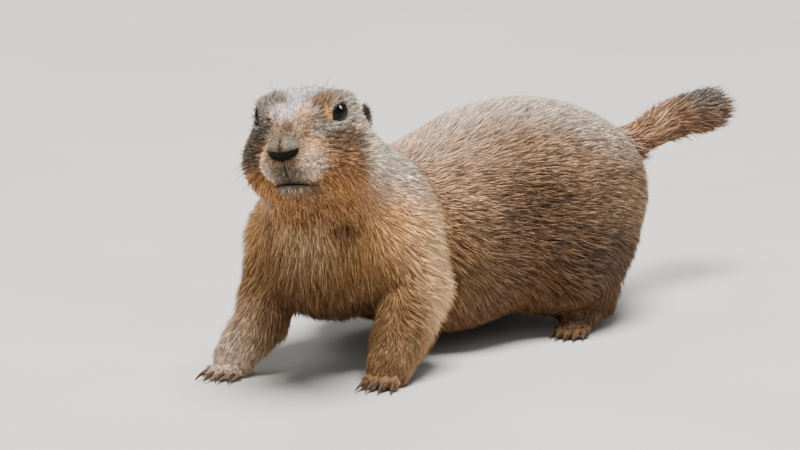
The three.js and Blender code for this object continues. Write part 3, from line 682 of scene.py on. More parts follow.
def level_surface(field, lines):
    """One vertex in each cell that the surface crosses, at the mean of its edges' crossings, and
    one quad round each grid edge that leaves the shape."""
    values = grid_values(field, lines)
    inside = values < 0
    crossed, number = crossed_cells(inside)
    points = settle(field, crossings_mean(values, lines, crossed))
    return points, np.concatenate([quads_along(axis, inside, number) for axis in range(3)])


def slope_of(field, points, reach=0.05):
    """The field's values, and its slope from one step along each axis."""
    here = body_sample(field, points)
    steps = [body_sample(field, points + reach * np.eye(3)[axis]) - here for axis in range(3)]
    return here, np.stack(steps, axis=1) / reach


SETTLE = {"passes": 2, "least_slope": 0.3, "most": 0.7}


def settle(field, points):
    """Moves points onto the field's surface, each time by the slope times its value over the
    square of the slope."""
    for _ in range(SETTLE["passes"]):
        here, slope = slope_of(field, points)
        move = -here / np.maximum((slope**2).sum(1), SETTLE["least_slope"])
        points = points + np.clip(move, -SETTLE["most"], SETTLE["most"])[:, None] * slope
    return points


# Markings: colours in linear light, laid over one another. Some of them are painted shade or painted
# light, as marked below.

TAUPE = (0.275, 0.16, 0.08)
FLANK_DARK_AND_SHADE = (0.11, 0.047, 0.015)
BACK_PALE = (0.79, 0.61, 0.49)
FLANK_LOW_AND_SHADE = (0.125, 0.045, 0.005)
OCHRE = (0.53, 0.235, 0.07)
CHEST_BUFF = (0.70, 0.46, 0.25)
CHEST_TAN = (0.42, 0.235, 0.095)
RUMP_PALE = (0.98, 0.80, 0.66)
OCHRE_PALE = (0.98, 0.53, 0.21)
OCHRE_DARK = (0.34, 0.15, 0.045)
GRIZZLE_WARM = (0.44, 0.265, 0.15)
BUFF = (0.41, 0.235, 0.115)
CHIN_TAN = (0.195, 0.098, 0.039)
CREAM = (0.74, 0.54, 0.36)
CREAM_WARM = (1.0, 0.66, 0.36)
SHOULDER_TAN = (1.0, 0.62, 0.30)
ARM_TAN = (0.27, 0.135, 0.055)
FAR_ARM_LIT = (0.92, 0.63, 0.41)
CHEST_LOW_SHADE = (0.20, 0.095, 0.035)
SADDLE_PALE = (0.80, 0.53, 0.34)
SADDLE_TAN = (0.54, 0.32, 0.18)
BEHIND_SHOULDER_SHADE = (0.15, 0.065, 0.02)
HAUNCH_LOW_SHADE = (0.04, 0.013, 0.003)
COLLAR_PALE = (0.93, 0.82, 0.71)
PALE_GREY = (0.60, 0.55, 0.47)
CROWN_GREY = (0.72, 0.72, 0.77)
RUFOUS = (0.18, 0.10, 0.05)
STREAK = (0.105, 0.052, 0.027)
FAR_FACE_SHADE = (0.21, 0.19, 0.165)
FAR_CHEEK_SHADE = (0.10, 0.09, 0.07)
SMUDGE = (0.045, 0.035, 0.028)
FOLD_SHADE = (0.17, 0.085, 0.035)
FOLD_DEEP_SHADE = (0.085, 0.038, 0.012)
PINK_BROWN = (0.12, 0.055, 0.035)
PINK_PALE = (1.0, 0.57, 0.32)
PALE_WARM = (1.0, 0.77, 0.59)
NOSE_GREY = (0.27, 0.235, 0.17)
LIP_GREY = (0.135, 0.13, 0.10)
GROOVE = (0.11, 0.08, 0.05)
DARK_SKIN_AND_SHADE = (0.007, 0.005, 0.004)
TIP_PALE = (0.74, 0.52, 0.36)
TAIL_BROWN = (0.20, 0.08, 0.022)
TAIL_PALE = (0.39, 0.23, 0.135)
TAIL_DARK = (0.145, 0.125, 0.107)

# Posture, place, radii, softness, colour and strength of each marking. One whose place is to the
# left is on both sides, and one whose place is in the middle or to the right is there alone.
MARKINGS = [
    # Darker mid flank: partly the coat's own brown, partly painted shade on the side turned from the
    # light
    (loin, (-12, 46, 50), (34, 22, 24), 0.6, FLANK_DARK_AND_SHADE, 0.85),
    (loin, (0, 0, 104), (140, 29, 19), 0.8, BACK_PALE, 0.95),
    (rump, (-16, 0, 94), (64, 36, 22), 0.8, BACK_PALE, 0.9),
    (rump, (-22, 18, 90), (26, 20, 16), 0.9, RUMP_PALE, 0.9),
    (rump, (5, 38, 77), (18, 12, 10), 0.9, SADDLE_TAN, 0.6),
    # Darker low side of the haunch: partly the coat's own brown, partly painted shade low on the body
    (rump, (-12, 46, 24), (34, 18, 20), 0.6, FLANK_LOW_AND_SHADE, 0.9),
    # Painted shade low on the haunch, above the folded leg
    (rump, (0, 52, 27), (26, 14, 17), 0.9, HAUNCH_LOW_SHADE, 0.95),
    # Painted shade in the crease under the root of the tail
    (rump, (-62, 7, 69), (4, 4, 6), 0.6, FOLD_SHADE, 0.9),
    # Darker belly: partly the coat's own brown, partly painted shade under the body
    (loin, (0, 0, 18), (90, 60, 34), 0.4, FLANK_LOW_AND_SHADE, 0.85),
    (loin, (16, 0, 0), (60, 44, 16), 0.45, OCHRE, 0.6),
    (rump, (-50, 0, 24), (30, 34, 30), 0.5, BUFF, 0.8),
    (loin, (-17, 28, 84), (22, 13, 9), 0.9, BUFF, 0.8),
    (loin, (32, 38, 62), (20, 14, 22), 0.9, GRIZZLE_WARM, 0.7),
    (loin, (18, 18, 81), (22, 18, 12), 0.9, SADDLE_PALE, 0.85),
    (loin, (18, 32, 71), (20, 14, 12), 0.9, SADDLE_TAN, 0.85),
    # Painted shade on the flank behind the shoulder
    (loin, (35, 42, 42), (15, 12, 20), 0.9, BEHIND_SHOULDER_SHADE, 0.95),
    (loin, (14, 46, 34), (20, 12, 14), 0.9, BEHIND_SHOULDER_SHADE, 0.7),
    (chest, (18, 0, 60), (42, 44, 40), 0.45, OCHRE, 0.9),
    (chest, (4, 36, 40), (26, 20, 40), 0.4, OCHRE, 0.9),
    (chest, (24, 0, 14), (44, 60, 30), 0.4, BUFF, 0.85),
    (chest, (22, 28, 74), (24, 18, 20), 0.6, OCHRE_PALE, 1.0),
    (chest, (4, 43, 51), (25, 18, 24), 0.9, SHOULDER_TAN, 0.9),
    (chest, (-4, 39, 60), (11, 12, 16), 0.9, CREAM_WARM, 0.8),
    (chest, (3, 44, 44), (10, 12, 17), 0.9, CREAM_WARM, 0.9),
    (chest, (12, 47, 31), (9, 9, 13), 0.9, CREAM_WARM, 0.8),
    # Painted shade behind the shoulder, where it meets the flank
    (chest, (-22, 41, 39), (9, 11, 20), 0.8, BEHIND_SHOULDER_SHADE, 0.9),
    (chest, (28, 37, 29), (11, 11, 15), 0.9, ARM_TAN, 0.6),
    (chest, (23, 37, 39), (9, 10, 10), 0.9, ARM_TAN, 0.9),
    # Painted light: the far forearm and its paw are made paler than the near ones
    (chest, (46, -27, 22), (13, 12, 18), 0.95, FAR_ARM_LIT, 0.85),
    (chest, (54, -31, 10), (13, 11, 15), 0.95, PALE_WARM, 1.0),
    (chest, (38, 0, 54), (28, 34, 44), 0.7, CHEST_TAN, 0.65),
    # Painted shade on the lower chest
    (chest, (34, -1, 42), (24, 20, 17), 0.9, CHEST_LOW_SHADE, 0.85),
    (chest, (16, -34, 64), (20, 12, 14), 0.9, CHEST_TAN, 0.6),
    (chest, (44, 3, 65), (15, 12, 15), 0.9, CHEST_BUFF, 0.95),
    # Painted shade along the underside of the chest
    (chest, (24, 0, 20), (30, 26, 10), 0.5, FLANK_LOW_AND_SHADE, 0.6),
    # Painted shade in the creases between the throat and the chest
    (chest, (47, 6, 72), (6, 9, 3.4), 0.8, FOLD_SHADE, 0.9),
    (chest, (38, 18, 67), (6, 6, 5), 0.9, FOLD_DEEP_SHADE, 0.95),
    (head, (-14, 24, -30), (32, 22, 20), 0.4, OCHRE, 0.95),
    (head, (-4, 0, -46), (30, 28, 12), 0.5, OCHRE_DARK, 0.6),
    (head, (14, 0, -35.5), (18, 14, 7), 0.5, CHIN_TAN, 0.9),
    (head, (-6, 0, 8), (26, 14, 14), 0.4, CROWN_GREY, 0.95),
    (head, (-26, 18, -2), (18, 14, 16), 0.5, PALE_GREY, 0.9),
    (head, (-30, 26, -16), (20, 14, 12), 0.6, COLLAR_PALE, 0.85),
    (head, (-46, 20, -12), (19, 19, 19), 0.85, COLLAR_PALE, 0.9),
    (head, (0, 16, -1), (9, 8, 6.5), 0.3, PALE_GREY, 0.85),
    (head, (4.5, 11, 5), (9, 6.5, 5), 0.6, RUFOUS, 1.0),
    (head, (11, 13, -7), (7, 6, 3.6), 0.4, PALE_GREY, 0.8),
    (head, (12, 5, 0.5), (4.4, 3.4, 3), 0.6, PINK_PALE, 0.75),
    (head, (7.4, 13.6, -0.5), (2.0, 2.4, 3), 0.5, OCHRE, 0.9),
    # Painted shade on the far side of the face alone, over the brow and round the eye
    (head, (3, -12, 4.5), (12, 6, 6), 0.5, FAR_FACE_SHADE, 0.9),
    (head, (8, -14, -1.6), (7, 5, 6), 0.5, FAR_FACE_SHADE, 0.85),
    (head, (13, -4.5, 1), (5, 4, 4), 0.6, CROWN_GREY, 0.7),
    (head, (7, 15.4, -3.2), (2.2, 1.8, 0.9), 0.6, SMUDGE, 0.6),
    (head, (-7, 19.5, -3.6), (2.2, 1.8, 0.9), 0.6, SMUDGE, 0.8),
    (head, (1, 19, -12), (12, 9, 4.2), 0.35, RUFOUS, 0.6),
    (head, (-4, 26, -20), (10, 8, 3), 0.5, RUFOUS, 0.6),
    (head, (-3, 23, -13), (8, 7, 4), 0.6, STREAK, 0.6),
    (head, (-12.5, 27, -16), (9.5, 9, 11), 0.5, PALE_WARM, 1.0),
    (chest, (0, 22, 86), (15, 17, 15), 0.8, COLLAR_PALE, 0.95),
    (head, (16, 11, -17), (10, 7, 8), 0.5, PINK_PALE, 0.85),
    (head, (19, 10, -21), (9, 7, 6), 0.4, PALE_WARM, 0.7),
    # Painted shade on the far cheek alone
    (head, (0, -24, -12), (16, 10, 10), 0.4, FAR_CHEEK_SHADE, 0.9),
    (head, (20, 0, -5), (8, 6, 5), 0.4, CREAM, 0.75),
    (head, (22, 0, -6), (6, 3.8, 4), 0.6, PINK_BROWN, 1.0),
    (head, (29, 4, -12.6), (7, 5, 4.2), 0.7, NOSE_GREY, 0.95),
    (head, (29, 0, -12), (9, 1.3, 5.5), 0.6, GROOVE, 0.8),
    (head, (29, 3, -9.5), (6, 3, 1.6), 0.8, GROOVE, 0.4),
    (head, (24, 0, -24), (9, 7.5, 5), 0.5, LIP_GREY, 0.85),
    (head, (19, 0, -30), (7, 6, 1.2), 0.6, PALE_GREY, 0.45),
]


def near_egg(points, frame_of, at, radii, softness):
    """One where the egg's level is below 1 less the softness, nought where it is above 1 and the
    softness, and the smooth step of the share between them. An egg on the left is on the right too."""
    own = to_own(frame_of, points)
    if at[1] > 0:
        own = np.stack([own[:, 0], np.abs(own[:, 1]), own[:, 2]], axis=1)
    level = np.linalg.norm((own - at) / np.array(radii, float), axis=1)
    t = fall(level, 1 + softness, 2 * softness)
    return t * t * (3 - 2 * t)


STREAKS = {"at": (2, 19, -12), "radii": (14, 9, 5.4), "soft": 0.3, "apart": 2.5, "down": 0.31,
           "sway": 1.3, "sway_wave": 15, "middle": 0.4, "strength": 0.9, "share": 0.95}


def streaks(points):
    """Dark lines under each eye that run back and slightly down, a set width apart: a sine of the
    height over that slope, which sways a little, inside a soft egg."""
    own = to_own(head, points)
    across = own[:, 2] - STREAKS["down"] * own[:, 0]
    sway = STREAKS["sway"] * waver(points, STREAKS["sway_wave"])
    lines = np.sin(2 * np.pi * across / STREAKS["apart"] + sway)
    patch = near_egg(points, head, STREAKS["at"], STREAKS["radii"], STREAKS["soft"])
    return patch * np.clip(STREAKS["middle"] + STREAKS["strength"] * lines, 0, 1)


def waver(points, wave):
    """A smooth value from -1 to 1 that turns over once in about a wave, from crossed sines."""
    p = points * (2 * np.pi / wave)
    first = np.sin(p[:, 0] + 1.7 * np.sin(0.61 * p[:, 1] + 0.4 * p[:, 2]))
    second = np.sin(0.83 * p[:, 2] - 0.57 * p[:, 1] + 1.3 * np.sin(0.7 * p[:, 0]))
    return (first + second) / 2


# The tail: where it starts and how long it is, how its middle rises, how thick its coat is, and
# along it, as shares of its length, the brown, the pale middle and the dark end
TAIL_SPAN = {"from": 130, "long": 56, "height": 69.5, "climb": 9, "thick": 10}
TAIL_ZONES = {"brown_over": 0.12, "pale_at": 0.35, "pale_over": 0.4, "pale": 0.7,
              "dark_from": 0.5, "dark_later_below": 0.25, "dark_over": 0.3,
              "full_above": (0.125, 0.625), "least_below": 0.3}


def tail_layers(points):
    """The shares and colours of the tail: brown all over, paler above in the middle, and a dark
    end that starts sooner above and is weaker below."""
    zones = TAIL_ZONES
    along = (points[:, 0] - TAIL_SPAN["from"]) / TAIL_SPAN["long"]
    middle = TAIL_SPAN["height"] + TAIL_SPAN["climb"] * along
    above = rise(points[:, 2], middle - TAIL_SPAN["thick"] / 2, TAIL_SPAN["thick"])
    brown = rise(along, -zones["brown_over"], zones["brown_over"])
    pale = fall(np.abs(along - zones["pale_at"]), zones["pale_over"], zones["pale_over"])
    later = zones["dark_later_below"] * (1 - above)
    dark = rise(along, zones["dark_from"] + later, zones["dark_over"])
    dark = dark * np.maximum(rise(above, *zones["full_above"]), zones["least_below"])
    return [(brown, TAIL_BROWN), (pale * above * zones["pale"] * brown, TAIL_PALE), (dark, TAIL_DARK)]


def markings(points):
    """Lays each marking over the ones before it, then the streaks and the tail's own colours."""
    colour = np.tile(TAUPE, (len(points), 1))
    layers = [
        (strength * near_egg(points, frame_of, at, radii, softness), shade)
        for frame_of, at, radii, softness, shade, strength in MARKINGS
    ]
    layers.append((STREAKS["share"] * streaks(points), STREAK))
    for share, shade in layers + tail_layers(points):
        colour += share[:, None] * (np.array(shade) - colour)
    return colour


# Mesh and material helpers


def mesh_object(name, points, faces, material, colours=None):
    """A mesh object from whole arrays of points in millimetres and faces of one size."""
    mesh = bpy.data.meshes.new(name)
    mesh.vertices.add(len(points))
    mesh.vertices.foreach_set("co", ((points + SHIFT) * MM).astype(np.float32).ravel())
    corners = faces.shape[1]
    mesh.loops.add(faces.size)
    mesh.loops.foreach_set("vertex_index", faces.astype(np.int32).ravel())
    mesh.polygons.add(len(faces))
    mesh.polygons.foreach_set("loop_start", np.arange(0, faces.size, corners, dtype=np.int32))
    mesh.polygons.foreach_set("use_smooth", np.full(len(faces), True))
    if colours is not None:
        layer = mesh.color_attributes.new("coat_colour", "FLOAT_COLOR", "POINT")
        rgba = np.concatenate([colours, np.ones((len(colours), 1))], axis=1)
        layer.data.foreach_set("color", rgba.astype(np.float32).ravel())
    mesh.update(calc_edges=True)
    mesh.materials.append(material)
    made = bpy.data.objects.new(name, mesh)
    bpy.context.scene.collection.objects.link(made)
    return made


def new_material(name, roughness, specular):
    """A material whose shader has a fixed roughness and specular level, its tree and its shader"""
    material = bpy.data.materials.new(name)
    material.use_nodes = True
    tree = material.node_tree
    shader = tree.nodes["Principled BSDF"]
    shader.inputs["Roughness"].default_value = roughness
    shader.inputs["Specular IOR Level"].default_value = specular
    return material, tree, shader


NOISE_ROUGHNESS = 0.55


def noise(tree, scale, detail=3):
    """Noise on the piece's own coordinates, in metres, with scale in waves for each metre"""
    coordinates = tree.nodes.new("ShaderNodeTexCoord")
    texture = tree.nodes.new("ShaderNodeTexNoise")
    texture.inputs["Scale"].default_value = scale
    texture.inputs["Detail"].default_value = detail
    texture.inputs["Roughness"].default_value = NOISE_ROUGHNESS
    tree.links.new(coordinates.outputs["Object"], texture.inputs["Vector"])
    return texture.outputs["Fac"]


def ramp(tree, value, stops):
    """Two colours at two values, with a straight change between them"""
    node = tree.nodes.new("ShaderNodeValToRGB")
    for element, (position, colour) in zip(node.color_ramp.elements, stops):
        element.position = position
        element.color = (*colour, 1)
    tree.links.new(value, node.inputs["Fac"])
    return node.outputs["Color"]


def multiply(tree, a, b):
    """One colour times another"""
    node = tree.nodes.new("ShaderNodeMix")
    node.data_type = "RGBA"
    node.blend_type = "MULTIPLY"
    node.inputs["Factor"].default_value = 1.0
    tree.links.new(a, node.inputs["A"])
    tree.links.new(b, node.inputs["B"])
    return node.outputs["Result"]


def bump(tree, shader, height, strength, distance):
    """Small bumps from a height, whose distance is in metres"""
    node = tree.nodes.new("ShaderNodeBump")
    node.inputs["Strength"].default_value = strength
    node.inputs["Distance"].default_value = distance
    tree.links.new(height, node.inputs["Height"])
    tree.links.new(node.outputs["Normal"], shader.inputs["Normal"])


def painted(tree):
    """The colour that the mesh carries at its points"""
    node = tree.nodes.new("ShaderNodeAttribute")
    node.attribute_name = "coat_colour"
    return node.outputs["Color"]


def fur_material(name, tick_scale, contrast):
    """Painted colour, dappled by noise between dark and light, with a dull satin finish"""
    material, tree, shader = new_material(name, 0.6, 0.16)
    dark, light = (1 - contrast,) * 3, (1 + contrast,) * 3
    dapple = ramp(tree, noise(tree, tick_scale), [(0.3, dark), (0.7, light)])
    tree.links.new(multiply(tree, painted(tree), dapple), shader.inputs["Base Color"])
    return material


def underfur_material():
    """The short dense coat next to the skin: painted colour with fine dark flecks and bumps"""
    material, tree, shader = new_material("underfur", 0.85, 0.2)
    flecks = ramp(tree, noise(tree, 900, 4), [(0.35, (0.45, 0.42, 0.4)), (0.65, (1.05, 1.0, 0.95))])
    tree.links.new(multiply(tree, painted(tree), flecks), shader.inputs["Base Color"])
    bump(tree, shader, noise(tree, 1400, 3), 0.8, 0.0005)
    return material


def skin_leather(name, base, dark, roughness, scale):
    """Bare skin or horn: a fine pebbled grain between two shades"""
    material, tree, shader = new_material(name, roughness, 0.15)
    shade = ramp(tree, noise(tree, scale / 3), [(0.35, dark), (0.65, base)])
    tree.links.new(shade, shader.inputs["Base Color"])
    bump(tree, shader, noise(tree, scale), 0.35, 0.0002)
    return material


def eye_material():
    """Painted colour under a wet gloss"""
    material, tree, shader = new_material("eye_wet", 0.03, 0.12)
    tree.links.new(painted(tree), shader.inputs["Base Color"])
    return material


def claw_material():
    """Horn: painted colour clouded by noise, with a fine grain"""
    material, tree, shader = new_material("claw_horn", 0.6, 0.12)
    clouds = ramp(tree, noise(tree, 700, 4), [(0.3, (0.6, 0.55, 0.5)), (0.7, (1.35, 1.3, 1.25))])
    tree.links.new(multiply(tree, painted(tree), clouds), shader.inputs["Base Color"])
    bump(tree, shader, noise(tree, 1800), 0.25, 0.00015)
    return material


COAT_SHORT = fur_material("fur_short", 420, 0.2)
COAT_FACE = fur_material("fur_face", 620, 0.36)
COAT_LONG = fur_material("fur_long", 260, 0.2)
UNDERFUR = underfur_material()
EAR_SKIN = fur_material("ear_inner", 700, 0.25)
LID_SKIN = skin_leather("lid_skin", (0.035, 0.024, 0.018), (0.012, 0.009, 0.007), 0.65, 1500)
EYE_WET = eye_material()
CLAW_HORN = claw_material()
WHISKER = skin_leather("whisker_hair", (0.05, 0.04, 0.034), (0.02, 0.016, 0.014), 0.45, 900)

# The skin itself

UNDERCOAT_SHADE = 0.62
skin_lines = [grid_line(*ends) for ends in zip(*SKIN_GRID.values())]
skin_points, skin_quads = level_surface(skin_field, skin_lines)
skin_colours = markings(skin_points) * UNDERCOAT_SHADE
skin_object = mesh_object("skin", skin_points, skin_quads, UNDERFUR, skin_colours)

print("skin", len(skin_points), "points", len(skin_quads), "quads")

# Tufts of the coat

# Most tufts are wisps of one row. A row narrows by the taper along the tuft and has a low ridge.
TUFT = {"length_times_density": 19.0, "width": 0.22, "width_per_length": 0.021, "sink": 0.35,
        "taper": 0.45, "ridge": 0.8}
WISPS = 0.66
ROW_SPANS = {1: (0,), 2: (0, 0.5), 3: (0, 0.33, 0.7)}
PATCH = 0.0015
TAIL_COAT = {"from": 128, "density": 3.0, "density_over": 8, "plain_over": 20, "end": 172,
             "stand_over": 0.625}

# How much tufts differ from the lie round them: turns in radians that wave over so many
# millimetres and a random turn, and shares of the strokes' length, width and depth
TURNS = {"waves": ((0.13, 17), (0.17, 6.3)), "random": 0.12}
SPREAD = {"length": (0.7, 1.2), "width": (0.75, 1.25), "depth": (0.5, 1.15)}
STRAY = {"share": 0.1, "more": 0.9}

# Where the coat is grizzled: above the belly, and over the trunk and, less, the face
GRIZZLE = {"above": (30, 45), "trunk": (-60, 30), "face": (75, 15), "on_face": 0.75,
           "least": 0.35, "middle": 0.35, "more_above": 0.3, "off_tail": 0.6}
TICKING = {"least": 0.05, "more_above": 0.22}
COLOUR_AT = 0.4


def vertex_normals(points, triangles):
    """The sum of the area-weighted normals of the triangles round each vertex, made unit, and the
    area of each triangle."""
    a, b, c = (points[triangles[:, n]] for n in range(3))
    faces = np.cross(b - a, c - a)
    total = np.zeros_like(points)
    for n in range(3):
        for axis in range(3):
            total[:, axis] += np.bincount(triangles[:, n], faces[:, axis], len(points))
    return unit(total), np.linalg.norm(faces, axis=1) / 2


def scatter(points, triangles, density_at):
    """Places on triangles, evenly along the running sum of area times density, with normals."""
    normals, areas = vertex_normals(points, triangles)
    weight = areas * density_at(points[triangles].mean(1))
    total = np.cumsum(weight)
    wanted = int(total[-1])
    chosen = np.searchsorted(total, (np.arange(wanted) + rng.random(wanted)) / wanted * total[-1])
    chosen = triangles[np.minimum(chosen, len(triangles) - 1)]
    u, v = rng.random((2, wanted))
    flip = u + v > 1
    u, v = np.where(flip, 1 - u, u), np.where(flip, 1 - v, v)
    shares = np.stack([1 - u - v, u, v], axis=1)[:, :, None]
    return (points[chosen] * shares).sum(1), unit((normals[chosen] * shares).sum(1))


def tuft_mesh(hairs, rows):
    """Blades of three-cornered rows that narrow to a tip. At share t a row's middle is out along
    the lie by t times the length, and off the skin by the lift times 1 less the square of 1 - t."""
    roots, normals, ways = hairs["roots"], hairs["normals"], hairs["ways"]
    sides = np.cross(normals, ways)
    spans = ROW_SPANS[rows]
    parts = []
    for t in (*spans, 1):
        lifted = hairs["lifts"] * (1 - (1 - t) ** 2) - TUFT["sink"] * (t == 0)
        middle = roots + ways * (hairs["lengths"] * t)[:, None] + normals * lifted[:, None]
        if t == 1:
            parts.append(middle[:, None])
            continue
        half = (hairs["widths"] / 2 * (1 - TUFT["taper"] * t))[:, None]
        row = [middle - sides * half, middle + sides * half, middle + normals * half * TUFT["ridge"]]
        parts.append(np.stack(row, axis=1))
    points = np.concatenate(parts, axis=1)
    faces = [(0, 1, 2)]
    for row in range(rows - 1):
        for n in range(3):
            a, b = 3 * row + n, 3 * row + (n + 1) % 3
            faces += [(a, a + 3, b), (b, a + 3, b + 3)]
    faces += [(3 * rows - 3 + n, 3 * rows, 3 * rows - 3 + (n + 1) % 3) for n in range(3)]
    each = points.shape[1]
    triangles = (np.array(faces) + each * np.arange(len(roots))[:, None, None]).reshape(-1, 3)
    points = points.reshape(-1, 3)
    points[:, 2] = np.maximum(points[:, 2], FLOOR_CLEAR)
    return points, triangles


DARK_TUFTS = {"share": 0.38, "shade": 0.42}
CLUMPS = {"strength": 0.3, "wave": 2.7, "second": 0.7, "second_wave": 4.1, "offset": 11}
TIPS = {"spread": 0.13, "lighter": 1.1, "to_pale": 0.35, "dark": 0.7}
ROOT_SHADE = {"plain": 0.62, "less_by_contrast": 0.2}
TIP_SHARES = (0.5, 0.8)


def clump_tones(roots, contrast):
    """A tone that neighbours share, in clumps a few millimetres across: the exponential of two
    crossed waves."""
    clump = waver(roots, CLUMPS["wave"])
    clump = clump + CLUMPS["second"] * waver(roots + CLUMPS["offset"], CLUMPS["second_wave"])
    return np.exp(CLUMPS["strength"] * contrast * clump[:, None])


def tuft_tones(hairs, rows):
    """Colour of each vertex. With full contrast some tufts are dark from root to tip, and the rest
    are as much lighter, so that the mean stays, and turn paler to the tip."""
    count = len(hairs["roots"])
    contrast = hairs["contrast"][:, None]
    share, depth = DARK_TUFTS["share"], (1 - DARK_TUFTS["shade"]) * contrast
    dark = (rng.random(count) < share)[:, None]
    tone = np.where(dark, 1 - depth, 1 + depth * share / (1 - share))
    tone = tone * clump_tones(hairs["roots"], contrast)
    own = hairs["colours"] * tone * np.exp(rng.normal(0, TIPS["spread"], count))[:, None]
    dark_tip = (rng.random(count) < hairs["ticking"])[:, None] | dark
    pale = own * TIPS["lighter"] + contrast * TIPS["to_pale"] * (np.array(TIP_PALE) - own)
    tip = np.where(dark_tip, own * TIPS["dark"], pale)
    root = own * (ROOT_SHADE["plain"] - ROOT_SHADE["less_by_contrast"] * contrast)
    rows_of = [root, *(between(own, tip, share) for share in TIP_SHARES)][:rows]
    layers = [np.repeat(row[:, None], 3, axis=1) for row in rows_of] + [tip[:, None]]
    return np.concatenate(layers, axis=1).reshape(-1, 3)


MAP_EDGE = 0.01


def unwrap(points, frame_of, centre, axis):
    """Angle round an axis and place along it, each brought to the width of the map. The angle is
    counted from the side that the points are on, so that the map's cut lies opposite."""
    own = to_own(frame_of, points) - centre
    u, v = (axis + 1) % 3, (axis + 2) % 3
    middle = own.mean(0)
    facing = np.arctan2(middle[v], middle[u])
    turn = np.arctan2(own[:, v], own[:, u]) - facing
    turn = (turn + np.pi) % (2 * np.pi) - np.pi
    flat = np.stack([turn, own[:, axis]], axis=1)
    low, high = flat.min(0), flat.max(0)
    return MAP_EDGE + (1 - 2 * MAP_EDGE) * (flat - low) / np.maximum(high - low, 1e-6)


def patches(map_at, rows):
    """A small square of the map for each tuft at its root's place, the tuft's length up it."""
    spans = (*ROW_SPANS[rows], 1)
    local = [(x, 2 * t - 1) for t in spans[:-1] for x in (-1, 1, 0)] + [(0, 1)]
    return (map_at[:, None] + PATCH * np.array(local)).reshape(-1, 2)


def pick(hairs, of):
    """Some of the hairs, in every one of their columns."""
    return {key: values[of] for key, values in hairs.items()}


def tuft_piece(name, hairs, layers, material, wrap):
    """One mesh object of tufts, some in each layer of so many rows, with its map."""
    map_at = unwrap(hairs["roots"], *wrap)
    parts, corners = [], []
    for rows, of in layers:
        layer = pick(hairs, of)
        parts.append((*tuft_mesh(layer, rows), tuft_tones(layer, rows)))
        corners.append(patches(map_at[of], rows))
    points, faces, colours = joined(parts)
    made = mesh_object(name, points, faces, material, colours)
    uv = made.data.uv_layers.new(name="OFBake")
    uv.data.foreach_set("uv", np.concatenate(corners)[faces.ravel()].astype(np.float32).ravel())
    print(name, len(hairs["roots"]), "tufts", len(faces), "triangles")
    return made


def joined(parts):
    """One set of points, faces and colours from several"""
    points, faces, colours, count = [], [], [], 0
    for part_points, part_faces, part_colours in parts:
        points.append(part_points)
        faces.append(part_faces + count)
        colours.append(np.broadcast_to(part_colours, part_points.shape))
        count += len(part_points)
    return np.concatenate(points), np.concatenate(faces), np.concatenate(colours)


def density_at(points):
    """Tufts for each square millimetre: one constant over the tufts' length, more on the tail"""
    length = stroke_shares(points) @ STROKE_LENGTH
    tail = rise(points[:, 0], TAIL_COAT["from"], TAIL_COAT["density_over"])
    return TUFT["length_times_density"] / length * (1 + (TAIL_COAT["density"] - 1) * tail)


BARE = {"lips": 0.35, "philtrum": 0.5, "round_eye": 0.75, "sole": 0.7, "nose_edge": 0.6,
        "nose_front": 20}
CLEAR_OF_EYE = {"root": 0.4, "tip": 0.3, "behind": -1, "near": 8, "least": 0.6}
CLEAR_OF_MOUTH = {"near": 16, "tip": 1.0, "share": 0.6}
bare_lips, clear_lips = mouth_line[6:-6], mouth_line[8:-8]


def bare(points):
    """Where no tuft grows: round the eyes' openings, along the middle of the lips and the line up
    to the nose, under the nose pad and under the feet"""
    none = to_line(points, bare_lips) < BARE["lips"]
    none |= to_line(points, philtrum_line) < BARE["philtrum"]
    for side in EYES:
        ahead, around, opening = round_gaze(side, points)
        none |= (around < opening + BARE["round_eye"]) & (ahead > 0)
    own = to_own(head, points)
    across = own[:, 1] / (NOSE["half_width"] - BARE["nose_edge"])
    above = (own[:, 2] - NOSE["height"]) / (NOSE["half_height"] - BARE["nose_edge"])
    none |= (np.hypot(across, above) < 1) & (own[:, 0] > BARE["nose_front"])
    return none | (points[:, 2] < BARE["sole"])


def clear_of_eyes(roots, ways, lengths):
    """Shortens the tufts that would reach over an eye to the gap between their root and the lids."""
    clear = CLEAR_OF_EYE
    for side in EYES:
        ahead, around, opening = round_gaze(side, roots)
        _, tip_around, _ = round_gaze(side, roots + ways * lengths[:, None])
        gap = around - opening - clear["root"]
        near = (tip_around < opening + clear["tip"]) & (ahead > clear["behind"]) & (gap < clear["near"])
        lengths = np.where(near, np.minimum(lengths, np.maximum(gap, clear["least"])), lengths)
    return lengths


def clear_of_mouth(roots, ways, lengths):
    """Shortens the tufts near the mouth whose tips come down on the middle of the lips."""
    near = np.linalg.norm(roots - mouth_middle, axis=1) < CLEAR_OF_MOUTH["near"]
    tips = roots[near] + ways[near] * lengths[near, None]
    on_lips = to_line(tips, clear_lips) < CLEAR_OF_MOUTH["tip"]
    lengths[near] *= np.where(on_lips, CLEAR_OF_MOUTH["share"], 1)
    return lengths


def lie(roots, normals, shares):
    """The strokes' mean way at each root, laid flat on the skin and turned a little by waves and
    at random, and the skin's normal square to it. At the tail's end, where the way runs straight
    out of the skin, it is left to stand."""
    ways = shares @ STROKE_WAY
    end_on = (ways * normals).sum(1)
    at_end = roots[:, 0] > TAIL_COAT["end"]
    flat = np.where(at_end, fall(np.abs(end_on), 1, TAIL_COAT["stand_over"]), 1)
    ways = unit(ways - normals * (end_on * flat)[:, None])
    normals = unit(normals - ways * (ways * normals).sum(1)[:, None])
    turn = sum(size * waver(roots, wave) for size, wave in TURNS["waves"])
    turn = turn + rng.normal(0, TURNS["random"], len(roots))
    return ways * np.cos(turn)[:, None] + np.cross(normals, ways) * np.sin(turn)[:, None], normals


